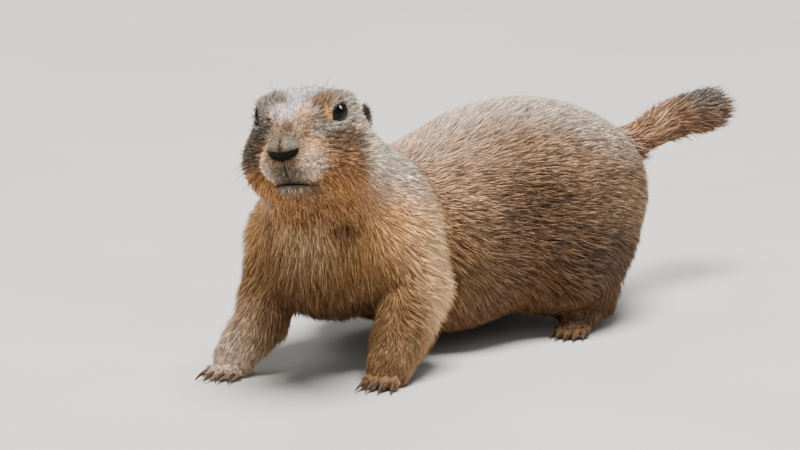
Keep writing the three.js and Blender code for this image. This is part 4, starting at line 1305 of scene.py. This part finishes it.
def combed(roots, normals):
    """Tufts at the roots along the strokes' lie, with the mean of their lengths and depths spread
    a little at random. A few on the head stand out more."""
    shares = stroke_shares(roots)
    ways, normals = lie(roots, normals, shares)
    count = len(roots)
    lengths = (shares @ STROKE_LENGTH) * rng.uniform(*SPREAD["length"], count)
    lengths = clear_of_mouth(roots, ways, clear_of_eyes(roots, ways, lengths))
    widths = TUFT["width"] + TUFT["width_per_length"] * lengths
    widths = widths * rng.uniform(*SPREAD["width"], count)
    above = rise(roots[:, 2], *GRIZZLE["above"])
    face = rise(-roots[:, 0], *GRIZZLE["face"])
    grizzle = np.maximum(rise(roots[:, 0], *GRIZZLE["trunk"]), GRIZZLE["on_face"] * face)
    tail = rise(roots[:, 0], TAIL_COAT["from"], TAIL_COAT["plain_over"])
    contrast = GRIZZLE["least"] + grizzle * (GRIZZLE["middle"] + GRIZZLE["more_above"] * above)
    stray = 1 + STRAY["more"] * face * (rng.random(count) < STRAY["share"])
    return {
        "roots": roots,
        "normals": normals,
        "ways": ways,
        "lengths": lengths,
        "widths": widths,
        "lifts": (shares @ STROKE_DEPTH) * rng.uniform(*SPREAD["depth"], count) * stray,
        "colours": markings(roots + ways * lengths[:, None] * COLOUR_AT),
        "contrast": contrast * (1 - GRIZZLE["off_tail"] * tail),
        "ticking": TICKING["least"] + TICKING["more_above"] * above,
        "piece": STROKE_PIECE[shares.argmax(1)],
    }


# Middle and axis of each piece's unwrap, in the posture of its first stroke: axis 0 is forward, 1
# is left and 2 is up
HEAD_MIDDLE, TRUNK_MIDDLE = (0, 0, -14), (0, 0, 50)
HEAD_PARTS = ("muzzle", "crown", "brow", "cheek", "nape")
TRUNK_PARTS = ("belly", "neck", "shoulder", "back", "flank", "rump", "haunch")
UNWRAPS = {
    **{part: (HEAD_MIDDLE, 0) for part in HEAD_PARTS},
    **{part: (TRUNK_MIDDLE, 0) for part in TRUNK_PARTS},
    "chin": ((0, 0, -18), 1),
    "throat": ((-20, 0, 0), 2),
    "chest": ((0, 0, 0), 2),
    "seat": ((0, 0, 0), 2),
    "shank": ((0, 36, 10), 0),
    "coat_shank_right": ((0, -36, 10), 0),
    "arm": ((10, 34, 0), 2),
    "coat_arm_right": ((20, -27, 0), 2),
    "tail": ((0, -20.5, 74), 0),
    "forepaw": ((0, 0, 0), 0),
    "hindpaw": ((0, 0, 0), 0),
}


def part_of(piece):
    """The second word of a coat piece's name, such as cheek in coat_cheek_left."""
    return piece.split("_")[1]


def coat_pieces():
    """Scatters tufts over the skin and makes a mesh of each piece: three-rowed tufts on the tail,
    and elsewhere two-rowed tufts among single wisps."""
    triangles = np.concatenate([skin_quads[:, [0, 1, 2]], skin_quads[:, [0, 2, 3]]])
    roots, normals = scatter(skin_points, triangles, density_at)
    keep = ~bare(roots)
    hairs = combed(roots[keep], normals[keep])
    made = {}
    for piece in dict.fromkeys(STROKE_PIECE):
        own = pick(hairs, hairs["piece"] == piece)
        wisp = rng.random(len(own["roots"])) < WISPS
        tail = piece == "coat_tail"
        layers = [(3, np.full(len(wisp), True))] if tail else [(1, wisp), (2, ~wisp)]
        frame_of = STROKES[list(STROKE_PIECE).index(piece)][0]
        wrap = UNWRAPS.get(piece) or UNWRAPS[part_of(piece)]
        if tail:
            material = COAT_LONG
        else:
            material = COAT_FACE if frame_of is head else COAT_SHORT
        made[piece] = tuft_piece(piece, own, layers, material, (frame_of, *wrap))
    return made


coats = coat_pieces()

# Surfaces from a profile carried along a path


def sweep(path, widths, heights, ups, sides=10, closed=False):
    """Carries an ellipse along a path: each row stands square to the path, its width across and
    its height towards up. An open sweep is closed at each end by a point. Returns points, faces."""
    path = np.asarray(path, float)
    rows = len(path)
    if closed:
        along = unit(np.roll(path, -1, axis=0) - np.roll(path, 1, axis=0))
    else:
        along = unit(np.gradient(path, axis=0))
    across = unit(np.cross(np.broadcast_to(ups, path.shape), along))
    above = np.cross(along, across)
    turn = full_turn(sides)
    w, h = np.broadcast_to(widths, rows), np.broadcast_to(heights, rows)
    ring = (
        path[:, None]
        + across[:, None] * (w[:, None] * np.cos(turn))[:, :, None]
        + above[:, None] * (h[:, None] * np.sin(turn))[:, :, None]
    )
    points = ring.reshape(-1, 3)
    if closed:
        return points, ring_faces(rows, sides, closed=True)
    return np.concatenate([points, path[:1], path[-1:]]), capped_faces(rows, sides)


def full_turn(count):
    """Angles evenly round a whole turn."""
    return np.linspace(0, 2 * np.pi, count, endpoint=False)


def ring_faces(rows, sides, closed=False):
    """Two triangles for each cell between one ring of points and the next"""
    row = np.arange(rows if closed else rows - 1)[:, None]
    n = np.arange(sides)[None]
    below = (row + 1) % rows * sides
    a, b = row * sides + n, row * sides + (n + 1) % sides
    c, d = below + (n + 1) % sides, below + n
    halves = [np.stack(corners, -1).reshape(-1, 3) for corners in ((a, b, c), (a, c, d))]
    return np.concatenate(halves)


def capped_faces(rows, sides):
    """The faces between rings, and triangles from each end ring to a point of its own. Those two
    points come after the rings."""
    n = np.arange(sides)
    after = (n + 1) % sides
    last = (rows - 1) * sides
    start = np.stack([np.full(sides, rows * sides), after, n], 1)
    end = np.stack([np.full(sides, rows * sides + 1), last + n, last + after], 1)
    return np.concatenate([ring_faces(rows, sides), start, end])


def facing_out(points, faces):
    """Turns all faces round if the volume that they enclose comes out below nought."""
    a, b, c = ((points - points.mean(0))[faces[:, n]] for n in range(3))
    return faces if (a * np.cross(b, c)).sum() > 0 else faces[:, ::-1]


def solid_object(name, parts, material):
    """One mesh object of several closed surfaces, each turned to face outwards."""
    parts = [(points, facing_out(points, faces), colours) for points, faces, colours in parts]
    points, faces, colours = joined(parts)
    return mesh_object(name, points, faces, material, colours)


def pole_surface(own, frame_of):
    """A closed surface from a grid of rings in a posture's own directions, each end ring drawn in
    to a point at its mean, with its faces outwards."""
    rings, sides = own.shape[:2]
    points = np.concatenate([own.reshape(-1, 3), own[:1].mean(1), own[-1:].mean(1)])
    points = place(frame_of, points)
    return points, facing_out(points, capped_faces(rings, sides))


# Eyes and lids

EYEBALL = {"rings": 40, "spokes": 48, "pole": 0.02, "swell": 0.025, "swell_angle": 0.5,
           "rim_from": 0.5, "rim_over": 0.25}
EYE_BLACK, EYE_BROWN = (0.004, 0.004, 0.005), (0.018, 0.009, 0.005)
LID_RING = {"spokes": 64, "sides": 12, "off_ball": 0.2, "thick": 0.5, "more_above": 0.16, "flat": 0.85}
LID_COLOUR = (0.03, 0.02, 0.015)


def eyeball(side):
    """A ball round the gaze, swollen a little at the cornea by a bell curve of the angle from the
    gaze, and black but for a brown rim."""
    polar = np.linspace(EYEBALL["pole"], np.pi - EYEBALL["pole"], EYEBALL["rings"])[:, None]
    turn = full_turn(EYEBALL["spokes"])[None]
    swell = EYEBALL["swell"] * np.exp(-((polar / EYEBALL["swell_angle"]) ** 2))
    radius = EYE["radius"] * (1 + swell) + 0 * turn
    aside = radius * np.sin(polar)
    ring = np.stack([radius * np.cos(polar), aside * np.cos(turn), aside * np.sin(turn)], axis=-1)
    points, faces = pole_surface(ring, EYES[side])
    own = to_own(EYES[side], points)
    polar_of = np.arccos(np.clip(own[:, 0] / np.linalg.norm(own, axis=1), -1, 1))
    brown = rise(polar_of, EYEBALL["rim_from"], EYEBALL["rim_over"])[:, None]
    return mesh_object(f"eyeball_{side}", points, faces, EYE_WET, between(EYE_BLACK, EYE_BROWN, brown))


def lid_ring(side):
    """An ellipse carried round the opening on the eyeball, thicker above than below."""
    turn = full_turn(LID_RING["spokes"])
    opening = lid_line(turn, SIDES[side])
    radius = EYE["radius"] + LID_RING["off_ball"]
    ahead = np.sqrt(np.maximum(radius**2 - opening**2, 1))
    path = np.stack([ahead, opening * np.cos(turn), opening * np.sin(turn)], 1)
    thick = LID_RING["thick"] + LID_RING["more_above"] * np.maximum(np.sin(turn), 0)
    gaze = EYES[side]["axes"][0]
    sides = LID_RING["sides"]
    ring = sweep(place(EYES[side], path), thick, thick * LID_RING["flat"], gaze, sides, closed=True)
    return *ring, LID_COLOUR


eyes = {side: eyeball(side) for side in SIDES}
lids = solid_object("eyelids", [lid_ring(side) for side in SIDES], LID_SKIN)

# Nose and lips

# The nostrils' crescent lies over a curve that rises from its low middle by the square of the
# distance out, and is thick in the middle. Its near-black colour is partly the nostrils' dark skin
# and partly painted shade inside the nostrils and under the nose.
NOSTRILS = {"low": -16.9, "rise": 0.062, "half_width": 6.6, "thin": 0.8, "thicker": 1.3,
            "thick_over": 5, "edge": 1.2, "soft": 0.4, "depth": 1.7, "holes_at": 3, "hole": 1.6,
            "between_holes": 0.55}
NOSE_GROOVE = {"half_width": 0.7, "top": -9, "soft": 2, "depth": 0.45, "darkness": 0.8}
NOSE_PAD = {"rings": 40, "spokes": 88, "least": 0.02, "edge_over": 0.45, "edge_power": 0.9,
            "edge_sink": 0.6, "back": 3.0, "deep_back": 5.0, "drawn_in": 0.5}
NOSE_LOBES = {"proud": 1.1, "aside": 3, "half_width": 2.3, "height": -13, "half_height": 2.4}


def nostril_share(s, u):
    """One in and under the crescent that joins the nostrils, lowest in the middle and thinner to
    its ends, falling to nought over it; and one in the groove down the middle of the nose."""
    curve = NOSTRILS["low"] + NOSTRILS["rise"] * s * s
    half = NOSTRILS["thin"] + NOSTRILS["thicker"] * np.exp(-((s / NOSTRILS["thick_over"]) ** 4))
    crescent = fall((u - curve) / half, NOSTRILS["edge"], NOSTRILS["soft"])
    crescent = crescent * (np.abs(s) < NOSTRILS["half_width"])
    groove = np.exp(-((s / NOSE_GROOVE["half_width"]) ** 2))
    return crescent, groove * fall(u, NOSE_GROOVE["top"], NOSE_GROOVE["soft"])


def nose_relief(s, u, share):
    """How far the nose stands out of the head: two lobes as bell curves, less the groove between
    them and the nostrils' crescent, all of it sinking in at the pad's edge."""
    edge = fall(share, 1, NOSE_PAD["edge_over"]) ** NOSE_PAD["edge_power"]
    aside = (np.abs(s) - NOSE_LOBES["aside"]) / NOSE_LOBES["half_width"]
    above = (u - NOSE_LOBES["height"]) / NOSE_LOBES["half_height"]
    lobes = NOSE_LOBES["proud"] * np.exp(-(aside**2) - above**2)
    crescent, groove = nostril_share(s, u)
    hole = np.exp(-(((np.abs(s) - NOSTRILS["holes_at"]) / NOSTRILS["hole"]) ** 2))
    deep = NOSTRILS["depth"] * between(NOSTRILS["between_holes"], 1, hole)
    sink = NOSE_PAD["edge_sink"]
    proud = -sink + (NOSE["lift"] + sink) * edge
    return proud + (lobes - NOSE_GROOVE["depth"] * groove) * edge - deep * crescent * edge**0.5


def nose_pad():
    """Rings round the nose cast back on the head, raised by the nose's relief, and closed by two
    rings behind. Returns the object, points and faces."""
    share = np.linspace(NOSE_PAD["least"], 1, NOSE_PAD["rings"])[:, None]
    turn = full_turn(NOSE_PAD["spokes"])[None]
    s = NOSE["half_width"] * share * np.cos(turn)
    u = NOSE["height"] + NOSE["half_height"] * share * np.sin(turn)
    hit = to_own(head, cast_on_face(s, u)).reshape(*s.shape, 3)
    ahead = np.array((1.0, 0, 0))
    front = hit + ahead * nose_relief(s, u, share)[..., None]
    back = hit[-1:] - ahead * NOSE_PAD["back"]
    deeper = hit[-1:] * (1, NOSE_PAD["drawn_in"], 1) - ahead * NOSE_PAD["deep_back"]
    points, faces = pole_surface(np.concatenate([front, back, deeper]), head)
    own = to_own(head, points)
    crescent, groove = nostril_share(own[:, 1], own[:, 2])
    # Near-black in the crescent: partly dark skin, partly painted shade inside the nostrils and under
    # the nose
    dark = np.maximum(crescent, groove * NOSE_GROOVE["darkness"])[:, None]
    colours = between(markings(points) * UNDERCOAT_SHADE, DARK_SKIN_AND_SHADE, dark)
    return mesh_object("nose_pad", points, faces, NOSE_SKIN, colours), points, faces


HAIR = {"turn": 0.15, "width": (0.8, 1.3), "contrast": 0.6, "ticking": 0.12}


def hair_on(points, faces, density, ways, length, lift, bare_at):
    """Single wisps scattered over the nose or an ear, along ways that a function gives, turned a
    little at random and laid flat."""
    roots, normals = scatter(points, faces, lambda at: np.full(len(at), density) * ~bare_at(at))
    keep = ~bare_at(roots)
    roots, normals = roots[keep], normals[keep]
    count = len(roots)
    way = ways(roots) + rng.normal(0, HAIR["turn"], (count, 3))
    return {
        "roots": roots,
        "normals": normals,
        "ways": unit(way - normals * (way * normals).sum(1)[:, None]),
        "lengths": length * rng.uniform(*SPREAD["length"], count),
        "widths": np.full(count, TUFT["width"]) * rng.uniform(*HAIR["width"], count),
        "lifts": lift * rng.uniform(*SPREAD["depth"], count),
        "colours": markings(roots),
        "contrast": np.full(count, HAIR["contrast"]),
        "ticking": np.full(count, HAIR["ticking"]),
    }


def wisps_piece(name, hairs, wrap):
    """A coat piece of single wisps of short hair."""
    every = np.full(len(hairs["roots"]), True)
    return tuft_piece(name, hairs, [(1, every)], COAT_SHORT, wrap)


NOSE_HAIR = {"density": 13, "length": 1.9, "lift": 0.45, "up": 0.5, "aside": 0.5, "front": 20,
             "low": -17.5, "crescent": 0.02, "groove": 0.5}


def nose_hair(points, faces):
    """Very short hair that lies up, back and aside over the nose, clear of the nostrils, of the
    groove and of what is behind or under them."""
    hair = NOSE_HAIR

    def hairless(at):
        own = to_own(head, at)
        crescent, groove = nostril_share(own[:, 1], own[:, 2])
        pressed_in = (crescent > hair["crescent"]) | (groove > hair["groove"])
        return pressed_in | (own[:, 0] < hair["front"]) | (own[:, 2] < hair["low"])

    def back_and_out(at):
        side = np.sign(to_own(head, at)[:, 1])[:, None]
        return np.array((-1, 0, hair["up"])) @ head["axes"] + hair["aside"] * side * head["axes"][1]

    hairs = hair_on(points, faces, hair["density"], back_and_out, hair["length"], hair["lift"], hairless)
    return wisps_piece("coat_nose", hairs, (head, (20, 0, NOSE["height"]), 0))


# The lips' line and its upper and lower edges: how far up and back from the mouth's path each
# lies, and its half width and half height, which taper to the corners but for a least thickness
LIP_POINTS = 41
LIP_TAPER = 1.02
LIP_LINE = {"back": 0.35, "width": 0.3, "least_width": 0.06, "height": 0.1, "middle": 0.5,
            "middle_over": 0.3}
LIP_EDGES = [
    {"up": 0.5, "back": 0.75, "width": 0.4, "height": 0.36},
    {"up": -0.55, "back": 0.8, "width": 0.42, "height": 0.36},
]
LIP_LEAST = 0.04
LIP_EDGE = (0.11, 0.085, 0.065)
CLEFT = {"points": 15, "back": 0.25, "width": 0.34, "height": 0.3, "end": 0.35}


def lips():
    """A dark line along the mouth, partly the lips' dark skin and partly painted shade in the gap
    between them, thicker in the middle, between two thin soft edges, and a dark line up to the nose."""
    along = np.linspace(-1, 1, LIP_POINTS)
    path = mouth_path(LIP_POINTS)
    taper = np.clip(LIP_TAPER - along**2, 0, 1)
    forward, side, up = head["axes"]
    middle = np.exp(-((along / LIP_LINE["middle_over"]) ** 2))
    high = (LIP_LINE["height"] + LIP_LINE["middle"] * middle) * taper + LIP_LEAST
    wide = LIP_LINE["width"] * taper + LIP_LINE["least_width"]
    line = sweep(path - forward * LIP_LINE["back"], wide, high, forward)
    edges = [
        sweep(
            path + up * edge["up"] - forward * edge["back"],
            edge["width"] * taper + LIP_LEAST,
            edge["height"] * taper + LIP_LEAST,
            forward,
        )
        for edge in LIP_EDGES
    ]
    thin = np.linspace(1, CLEFT["end"], CLEFT["points"])
    cleft_path = philtrum_path(CLEFT["points"]) - forward * CLEFT["back"]
    cleft = sweep(cleft_path, CLEFT["width"] * thin, CLEFT["height"] * thin, side)
    # The mouth's line is near-black: partly dark skin, partly painted shade in the mouth's gap
    return [(*line, DARK_SKIN_AND_SHADE), *((*edge, LIP_EDGE) for edge in edges), (*cleft, DARK_SKIN_AND_SHADE)]


def bare_material(name, roughness):
    """Bare skin: painted colour with a fine pebbled grain"""
    material, tree, shader = new_material(name, roughness, 0.08)
    grain = ramp(tree, noise(tree, 1600, 3), [(0.3, (0.75, 0.73, 0.72)), (0.7, (1.15, 1.13, 1.12))])
    tree.links.new(multiply(tree, painted(tree), grain), shader.inputs["Base Color"])
    bump(tree, shader, noise(tree, 2200, 2), 0.3, 0.00015)
    return material


NOSE_SKIN = bare_material("nose_skin", 0.55)
LIP_PAINT = bare_material("lip_skin_painted", 0.8)
nose, nose_points, nose_faces = nose_pad()
coats["coat_nose"] = nose_hair(nose_points, nose_faces)
lip_object = solid_object("lips", lips(), LIP_PAINT)

# Ears

EAR = {"at": (-23.5, 20.2, -1.9), "half_height": 4.5, "half_width": 2.3, "bowl": 1.7, "wall": 0.6}
EAR_TURNS = {"yaw": 72, "pitch": 10, "roll": 18}
EAR_RISE = {"least": 0.2, "most": 1.9, "turn": 35}
EAR_RIPPLES = {"high": 0.18, "count": 5, "turn": 1}
EAR_GRID = {"rings": 22, "spokes": 64, "least": 0.03}
EAR_RIM_FORM = {"wall_thinner": 0.6, "outside": 0.08, "drawn_in": 0.05}
EAR_PALE = {"from": 1.3 / 2.2, "over": 1 / 2.2, "power": 1.5, "outside": 0.9}
EAR_HAIR = {"density": 7, "length": 2.0, "lift": 0.4, "out": 0.5, "back": 0.5, "bare_inside": 0.4,
            "bare_above": -1.2, "front_from": 0.5, "front_over": 2.5, "shades": (0.6, 1.5)}
EAR_INNER, EAR_RIM = (0.035, 0.024, 0.019), (0.18, 0.135, 0.105)


def ear_posture(side):
    """The ear looks out from the side of the head and somewhat forward: forward is out of it."""
    sign = SIDES[side]
    yaw, pitch, roll = EAR_TURNS.values()
    own = posture((0, 0, 0), yaw=sign * yaw, pitch=pitch, roll=sign * roll)
    at = place(head, np.array(EAR["at"]) * (1, sign, 1))
    return {"at": at, "axes": own["axes"] * (-1, -1, 1) @ head["axes"]}


def ear_depth(r, turn, outside, side):
    """How far out the shell lies at a share of the way to its rim: a bowl less the square of the
    share, a rim that rises with its cube, most at the back and top, and less a wall outside."""
    toward = turn if SIDES[side] > 0 else np.pi - turn
    high = 0.5 + 0.5 * np.cos(toward - np.radians(EAR_RISE["turn"]))
    rim = EAR_RISE["least"] + (EAR_RISE["most"] - EAR_RISE["least"]) * high
    ripple = np.sin(EAR_RIPPLES["count"] * turn + EAR_RIPPLES["turn"])
    rim = rim + EAR_RIPPLES["high"] * ripple * r
    wall = EAR["wall"] * outside * (1 - EAR_RIM_FORM["wall_thinner"] * r**6)
    return -EAR["bowl"] * (1 - r**2) + rim * r**3 - wall


def ear_shell(side):
    """Rings from the middle of the bowl out to the rim, and back along the outside to its middle.
    Returns the object, points and faces."""
    rings, spokes = EAR_GRID["rings"], EAR_GRID["spokes"]
    share = np.linspace(EAR_GRID["least"], 1, rings)
    r = np.concatenate([share, share[::-1]])[:, None]
    outside = np.repeat([0.0, 1.0], rings)[:, None]
    turn = full_turn(spokes)[None]
    reach = r + EAR_RIM_FORM["outside"] * outside * r - EAR_RIM_FORM["drawn_in"] * r**8
    across = EAR["half_width"] * reach * np.cos(turn)
    above = EAR["half_height"] * reach * np.sin(turn)
    ring = np.stack([ear_depth(r, turn, outside, side), across, above], axis=-1)
    points, faces = pole_surface(ring, ear_posture(side))
    inner = rise(share, EAR_PALE["from"], EAR_PALE["over"]) ** EAR_PALE["power"]
    pale = np.concatenate([inner, np.full(rings, EAR_PALE["outside"])])
    pale = np.concatenate([np.repeat(pale, spokes), [0, EAR_PALE["outside"]]])[:, None]
    colours = between(EAR_INNER, EAR_RIM, pale)
    return mesh_object(f"ear_cup_{side}", points, faces, EAR_SKIN, colours), points, faces


def ear_hair(side, points, faces):
    """Short hair on the rim and outside of the ear that lies out from its middle, outwards and
    back, paler in front."""
    hair, own_frame = EAR_HAIR, ear_posture(side)
    lean = hair["out"] * own_frame["axes"][0] - hair["back"] * head["axes"][0]

    def hairless(at):
        own = to_own(own_frame, at)
        across = np.hypot(own[:, 1] / EAR["half_width"], own[:, 2] / EAR["half_height"])
        return (across < hair["bare_inside"]) & (own[:, 0] > hair["bare_above"])

    def out_and_back(at):
        return unit(to_own(own_frame, at) * (0, 1, 1)) @ own_frame["axes"] + lean

    hairs = hair_on(points, faces, hair["density"], out_and_back, hair["length"], hair["lift"], hairless)
    ahead = to_own(head, hairs["roots"])[:, 0] - EAR["at"][0]
    front = rise(ahead, hair["front_from"], hair["front_over"])[:, None]
    shade = between(EAR_RIM, PALE_GREY, front)
    hairs["colours"] = shade * rng.uniform(*hair["shades"], (len(ahead), 1))
    return wisps_piece(f"coat_ear_{side}", hairs, (own_frame, (0, 0, 0), 0))


ears = {}
for side in SIDES:
    ears[side], ear_points, ear_faces = ear_shell(side)
    coats[f"coat_ear_{side}"] = ear_hair(side, ear_points, ear_faces)

# Claws and whiskers


CLAW = {"rows": 14, "sides": 12, "in_toe": 3, "height": 3.1, "arch": 0.5, "arch_turn": 0.8,
        "drop": 2.55, "drop_power": 2.2, "half_width": 0.95, "half_height": 1.15, "taper": 0.8,
        "taper_power": 1.6}
CLAW_ROOT, CLAW_TIP = (0.11, 0.07, 0.045), (0.05, 0.036, 0.028)


def claws_of(one):
    """An ellipse carried along a curve that leaves each toe in a low arch, a sine less a power of
    the share along it, and bends down to the floor. It tapers and darkens to the tip."""
    parts = []
    shape = one["shape"]
    t = np.linspace(0, 1, CLAW["rows"])
    height = CLAW["height"] + CLAW["arch"] * np.sin(np.pi * t * CLAW["arch_turn"])
    height = height - CLAW["drop"] * t ** CLAW["drop_power"]
    narrow = 1 - CLAW["taper"] * t ** CLAW["taper_power"]
    half_width, half_height = CLAW["half_width"] * narrow, CLAW["half_height"] * narrow
    tone = np.concatenate([np.repeat(t, CLAW["sides"]), [0, 1]])[:, None]
    colours = between(CLAW_ROOT, CLAW_TIP, tone)
    for long, out in toe_places(shape):
        reach = long - CLAW["in_toe"] + (shape["claw"] + CLAW["in_toe"]) * t
        path = place(one["frame"], np.stack(out(reach, height), axis=1))
        parts.append((*sweep(path, half_width, half_height, (0, 0, 1), CLAW["sides"]), colours))
    return parts


claws = {name: solid_object(f"claws_{name}", claws_of(one), CLAW_HORN) for name, one in PAWS.items()}

# Whiskers stand in rows on the pads, brow hairs in a line over each eye, and cheek hairs anywhere
# in a patch. A row's first root and way, and the steps from one to the next, are head directions.
WHISKERS = {"rows": 3, "each": 5, "length": (15, 26), "radius": 0.075, "at": (20, -17.5),
            "step": (2.2, 2.6), "way": (0.1, -0.12), "turn": (0.22, 0.2), "random": 0.08,
            "first_share": 0.7, "longer": 0.1}
BROW_HAIRS = {"each": 4, "length": (5, 10), "at": (4, 9.5), "step": (3.5, 0.8), "above": 40,
              "way": 0.1, "turn": 0.25, "aside": 0.4, "random": 0.15}
CHEEK_HAIRS = {"each": 60, "length": (3, 5.5), "radius": 0.13, "from_back": (-8, 12),
               "from_low": (-24, -4), "way": (-0.7, 0.1), "random": 0.25}
ROD = {"rows": 9, "sides": 5, "root": 0.7, "back": 0.28, "down": 0.12, "taper": 0.9, "tip": 0.012,
       "reach": 60, "ups": (0.3, 0.2, 1)}
WHISKER_COLOUR = (0.035, 0.027, 0.02)


def pad_whiskers(sign):
    """Yields what whisker_ways does for the whiskers in rows, longer and turned more to the back."""
    hair = WHISKERS
    for row in range(hair["rows"]):
        for n in range(hair["each"]):
            forward, high = hair["at"][0] - hair["step"][0] * n, hair["at"][1] - hair["step"][1] * row
            way = (hair["way"][0] - hair["turn"][0] * n, sign, hair["way"][1] - hair["turn"][1] * row)
            way = np.array(way) + rng.normal(0, hair["random"], 3)
            length = rng.uniform(*hair["length"]) * (hair["first_share"] + hair["longer"] * n)
            yield (forward, sign * WELL_OUT, high), (0, -sign, 0), unit(way), length, hair["radius"]


def whisker_ways():
    """Yields each hair's place out from the head, the way in to its root, its direction in the
    head, its length and its radius."""
    brow, cheek = BROW_HAIRS, CHEEK_HAIRS
    for sign in SIDES.values():
        yield from pad_whiskers(sign)
        for n in range(brow["each"]):
            aside = brow["at"][1] + brow["step"][1] * n
            at = (brow["at"][0] - brow["step"][0] * n, sign * aside, brow["above"])
            way = np.array((brow["way"] - brow["turn"] * n, sign * brow["aside"], 1.0))
            way = way + rng.normal(0, brow["random"], 3)
            yield at, (0, 0, -1), unit(way), rng.uniform(*brow["length"]), WHISKERS["radius"]
        for _ in range(cheek["each"]):
            at = (rng.uniform(*cheek["from_back"]), sign * WELL_OUT, rng.uniform(*cheek["from_low"]))
            way = np.array((cheek["way"][0], sign, cheek["way"][1])) + rng.normal(0, cheek["random"], 3)
            yield at, (0, -sign, 0), unit(way), rng.uniform(*cheek["length"]), cheek["radius"]


def whisker_parts():
    """Thin tapering rods that bend back and down by the square of the share along them."""
    parts = []
    t = np.linspace(0, 1, ROD["rows"])
    bend = -ROD["back"] * head["axes"][0] - ROD["down"] * head["axes"][2]
    for at, inward, way, length, thick in whisker_ways():
        inward = np.array(inward) @ head["axes"]
        start = cast(head_field, place(head, [at]), inward, reach=ROD["reach"])[0]
        path = start + np.outer(t * length - ROD["root"], way @ head["axes"])
        path = path + np.outer(length * t**2, bend)
        radius = thick * (1 - ROD["taper"] * t) + ROD["tip"]
        parts.append((*sweep(path, radius, radius, ROD["ups"], ROD["sides"]), WHISKER_COLOUR))
    return parts


whiskers = solid_object("whiskers", whisker_parts(), WHISKER)

# Stage: a pale floor, a large soft light on the left, a weaker one on the right, and one behind


def look_at(made, at):
    """Turns a light or camera so that its own -Z points at a place, with its Y upwards."""
    made.rotation_euler = (Vector(at) - made.location).to_track_quat("-Z", "Y").to_euler()


LIGHTS_LOOK_AT = (0, 0, 0.05)


def add_light(name, at, size, power, colour):
    """A round soft light at a place in metres that points at the model's middle"""
    data = bpy.data.lights.new(name, "AREA")
    data.shape = "DISK"
    data.size = size
    data.energy = power
    data.color = colour
    made = bpy.data.objects.new(name, data)
    made.location = at
    bpy.context.scene.collection.objects.link(made)
    look_at(made, LIGHTS_LOOK_AT)
    return made


FLOOR = {"rings": 24, "spokes": 96, "radius": 9000.0}


def floor_material():
    """A pale matt floor, very faintly clouded"""
    material, tree, shader = new_material("floor_pale", 0.7, 0.2)
    tint = ramp(tree, noise(tree, 6), [(0.3, (0.55, 0.54, 0.52)), (0.7, (0.59, 0.58, 0.56))])
    tree.links.new(tint, shader.inputs["Base Color"])
    return material


def add_floor():
    """A disc from rings of points whose radius grows with the square of the ring's number"""
    rings, spokes = FLOOR["rings"], FLOOR["spokes"]
    r = FLOOR["radius"] * (np.arange(1, rings + 1) / rings) ** 2
    turn = full_turn(spokes)
    flat = np.zeros((rings, spokes))
    ring = np.stack([np.outer(r, np.cos(turn)), np.outer(r, np.sin(turn)), flat], -1)
    points = np.concatenate([np.zeros((1, 3)), ring.reshape(-1, 3)]) - SHIFT
    n = np.arange(spokes)
    inner = np.stack([np.zeros(spokes, int), 1 + n, 1 + (n + 1) % spokes], 1)
    outer = 1 + ring_faces(rings, spokes)[:, ::-1]
    mesh_object("floor", points, np.concatenate([inner, outer]), floor_material())


def add_camera():
    """The camera stands back from its target by the azimuth and elevation, as the photo's did."""
    a, e = np.radians([CAMERA["azimuth"], CAMERA["elevation"]])
    back = np.array([np.sin(a) * np.cos(e), -np.cos(a) * np.cos(e), np.sin(e)])
    target = np.array(CAMERA["target"]) + SHIFT
    data = bpy.data.cameras.new("camera")
    data.sensor_width = SENSOR
    data.lens = CAMERA["focal"] / PHOTO_WIDTH * SENSOR
    data.clip_start = 0.1
    made = bpy.data.objects.new("camera", data)
    made.location = (target + back * CAMERA["distance"]) * MM
    bpy.context.scene.collection.objects.link(made)
    look_at(made, target * MM)
    bpy.context.scene.camera = made


SKY = {"colour": (0.86, 0.89, 0.94, 1), "strength": 0.28}


def add_sky():
    """An even, slightly blue light from all round"""
    sky = bpy.data.worlds.new("studio")
    sky.use_nodes = True
    background = sky.node_tree.nodes["Background"]
    background.inputs["Color"].default_value = SKY["colour"]
    background.inputs["Strength"].default_value = SKY["strength"]
    bpy.context.scene.world = sky


add_floor()
add_camera()
add_sky()
key = add_light("key", (-0.4, -0.5, 3.0), 1.7, 275, (1, 0.97, 0.92))
add_light("fill", (-2.1, -1.5, 1.0), 1.6, 11, (0.95, 0.97, 1))
add_light("rim", (1.2, 1.8, 1.9), 1.4, 20, (1, 0.98, 0.95))
catch_light = add_light("catch_light", (1.3, -1.4, 1.75), 1.15, 200, (0.92, 0.96, 1))
key.visible_glossy = False
catch_light.visible_diffuse = False

# Each piece rides the root body, and the imported nodes that it takes the place of are hidden

FLESH = [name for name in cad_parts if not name.startswith(("eye_", "ear_", "tail"))]
SLOTS = {
    **{part: "coat_head" for part in (*HEAD_PARTS, "chin", "nose", "ear")},
    **{part: "coat_limb" for part in ("arm", "shank", "forepaw", "hindpaw")},
    "tail": "coat_tail",
}


def hand_over(piece, slot, *nodes):
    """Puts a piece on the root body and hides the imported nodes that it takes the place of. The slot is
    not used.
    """
    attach(piece, "root")
    if nodes:
        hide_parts(*nodes)


hand_over(skin_object, "coat_body", *FLESH)
for name, piece in coats.items():
    slot = SLOTS.get(part_of(name), "coat_body")
    hand_over(piece, slot, *(["tail"] if name == "coat_tail" else []))
for side in SIDES:
    hand_over(eyes[side], "eye", f"eye_{side}")
    hand_over(ears[side], "ear_skin", f"ear_{side}")
hand_over(lids, "nose_skin")
hand_over(nose, "nose_skin")
hand_over(lip_object, "nose_skin")
hand_over(whiskers, "whisker")
for piece in claws.values():
    hand_over(piece, "claw")
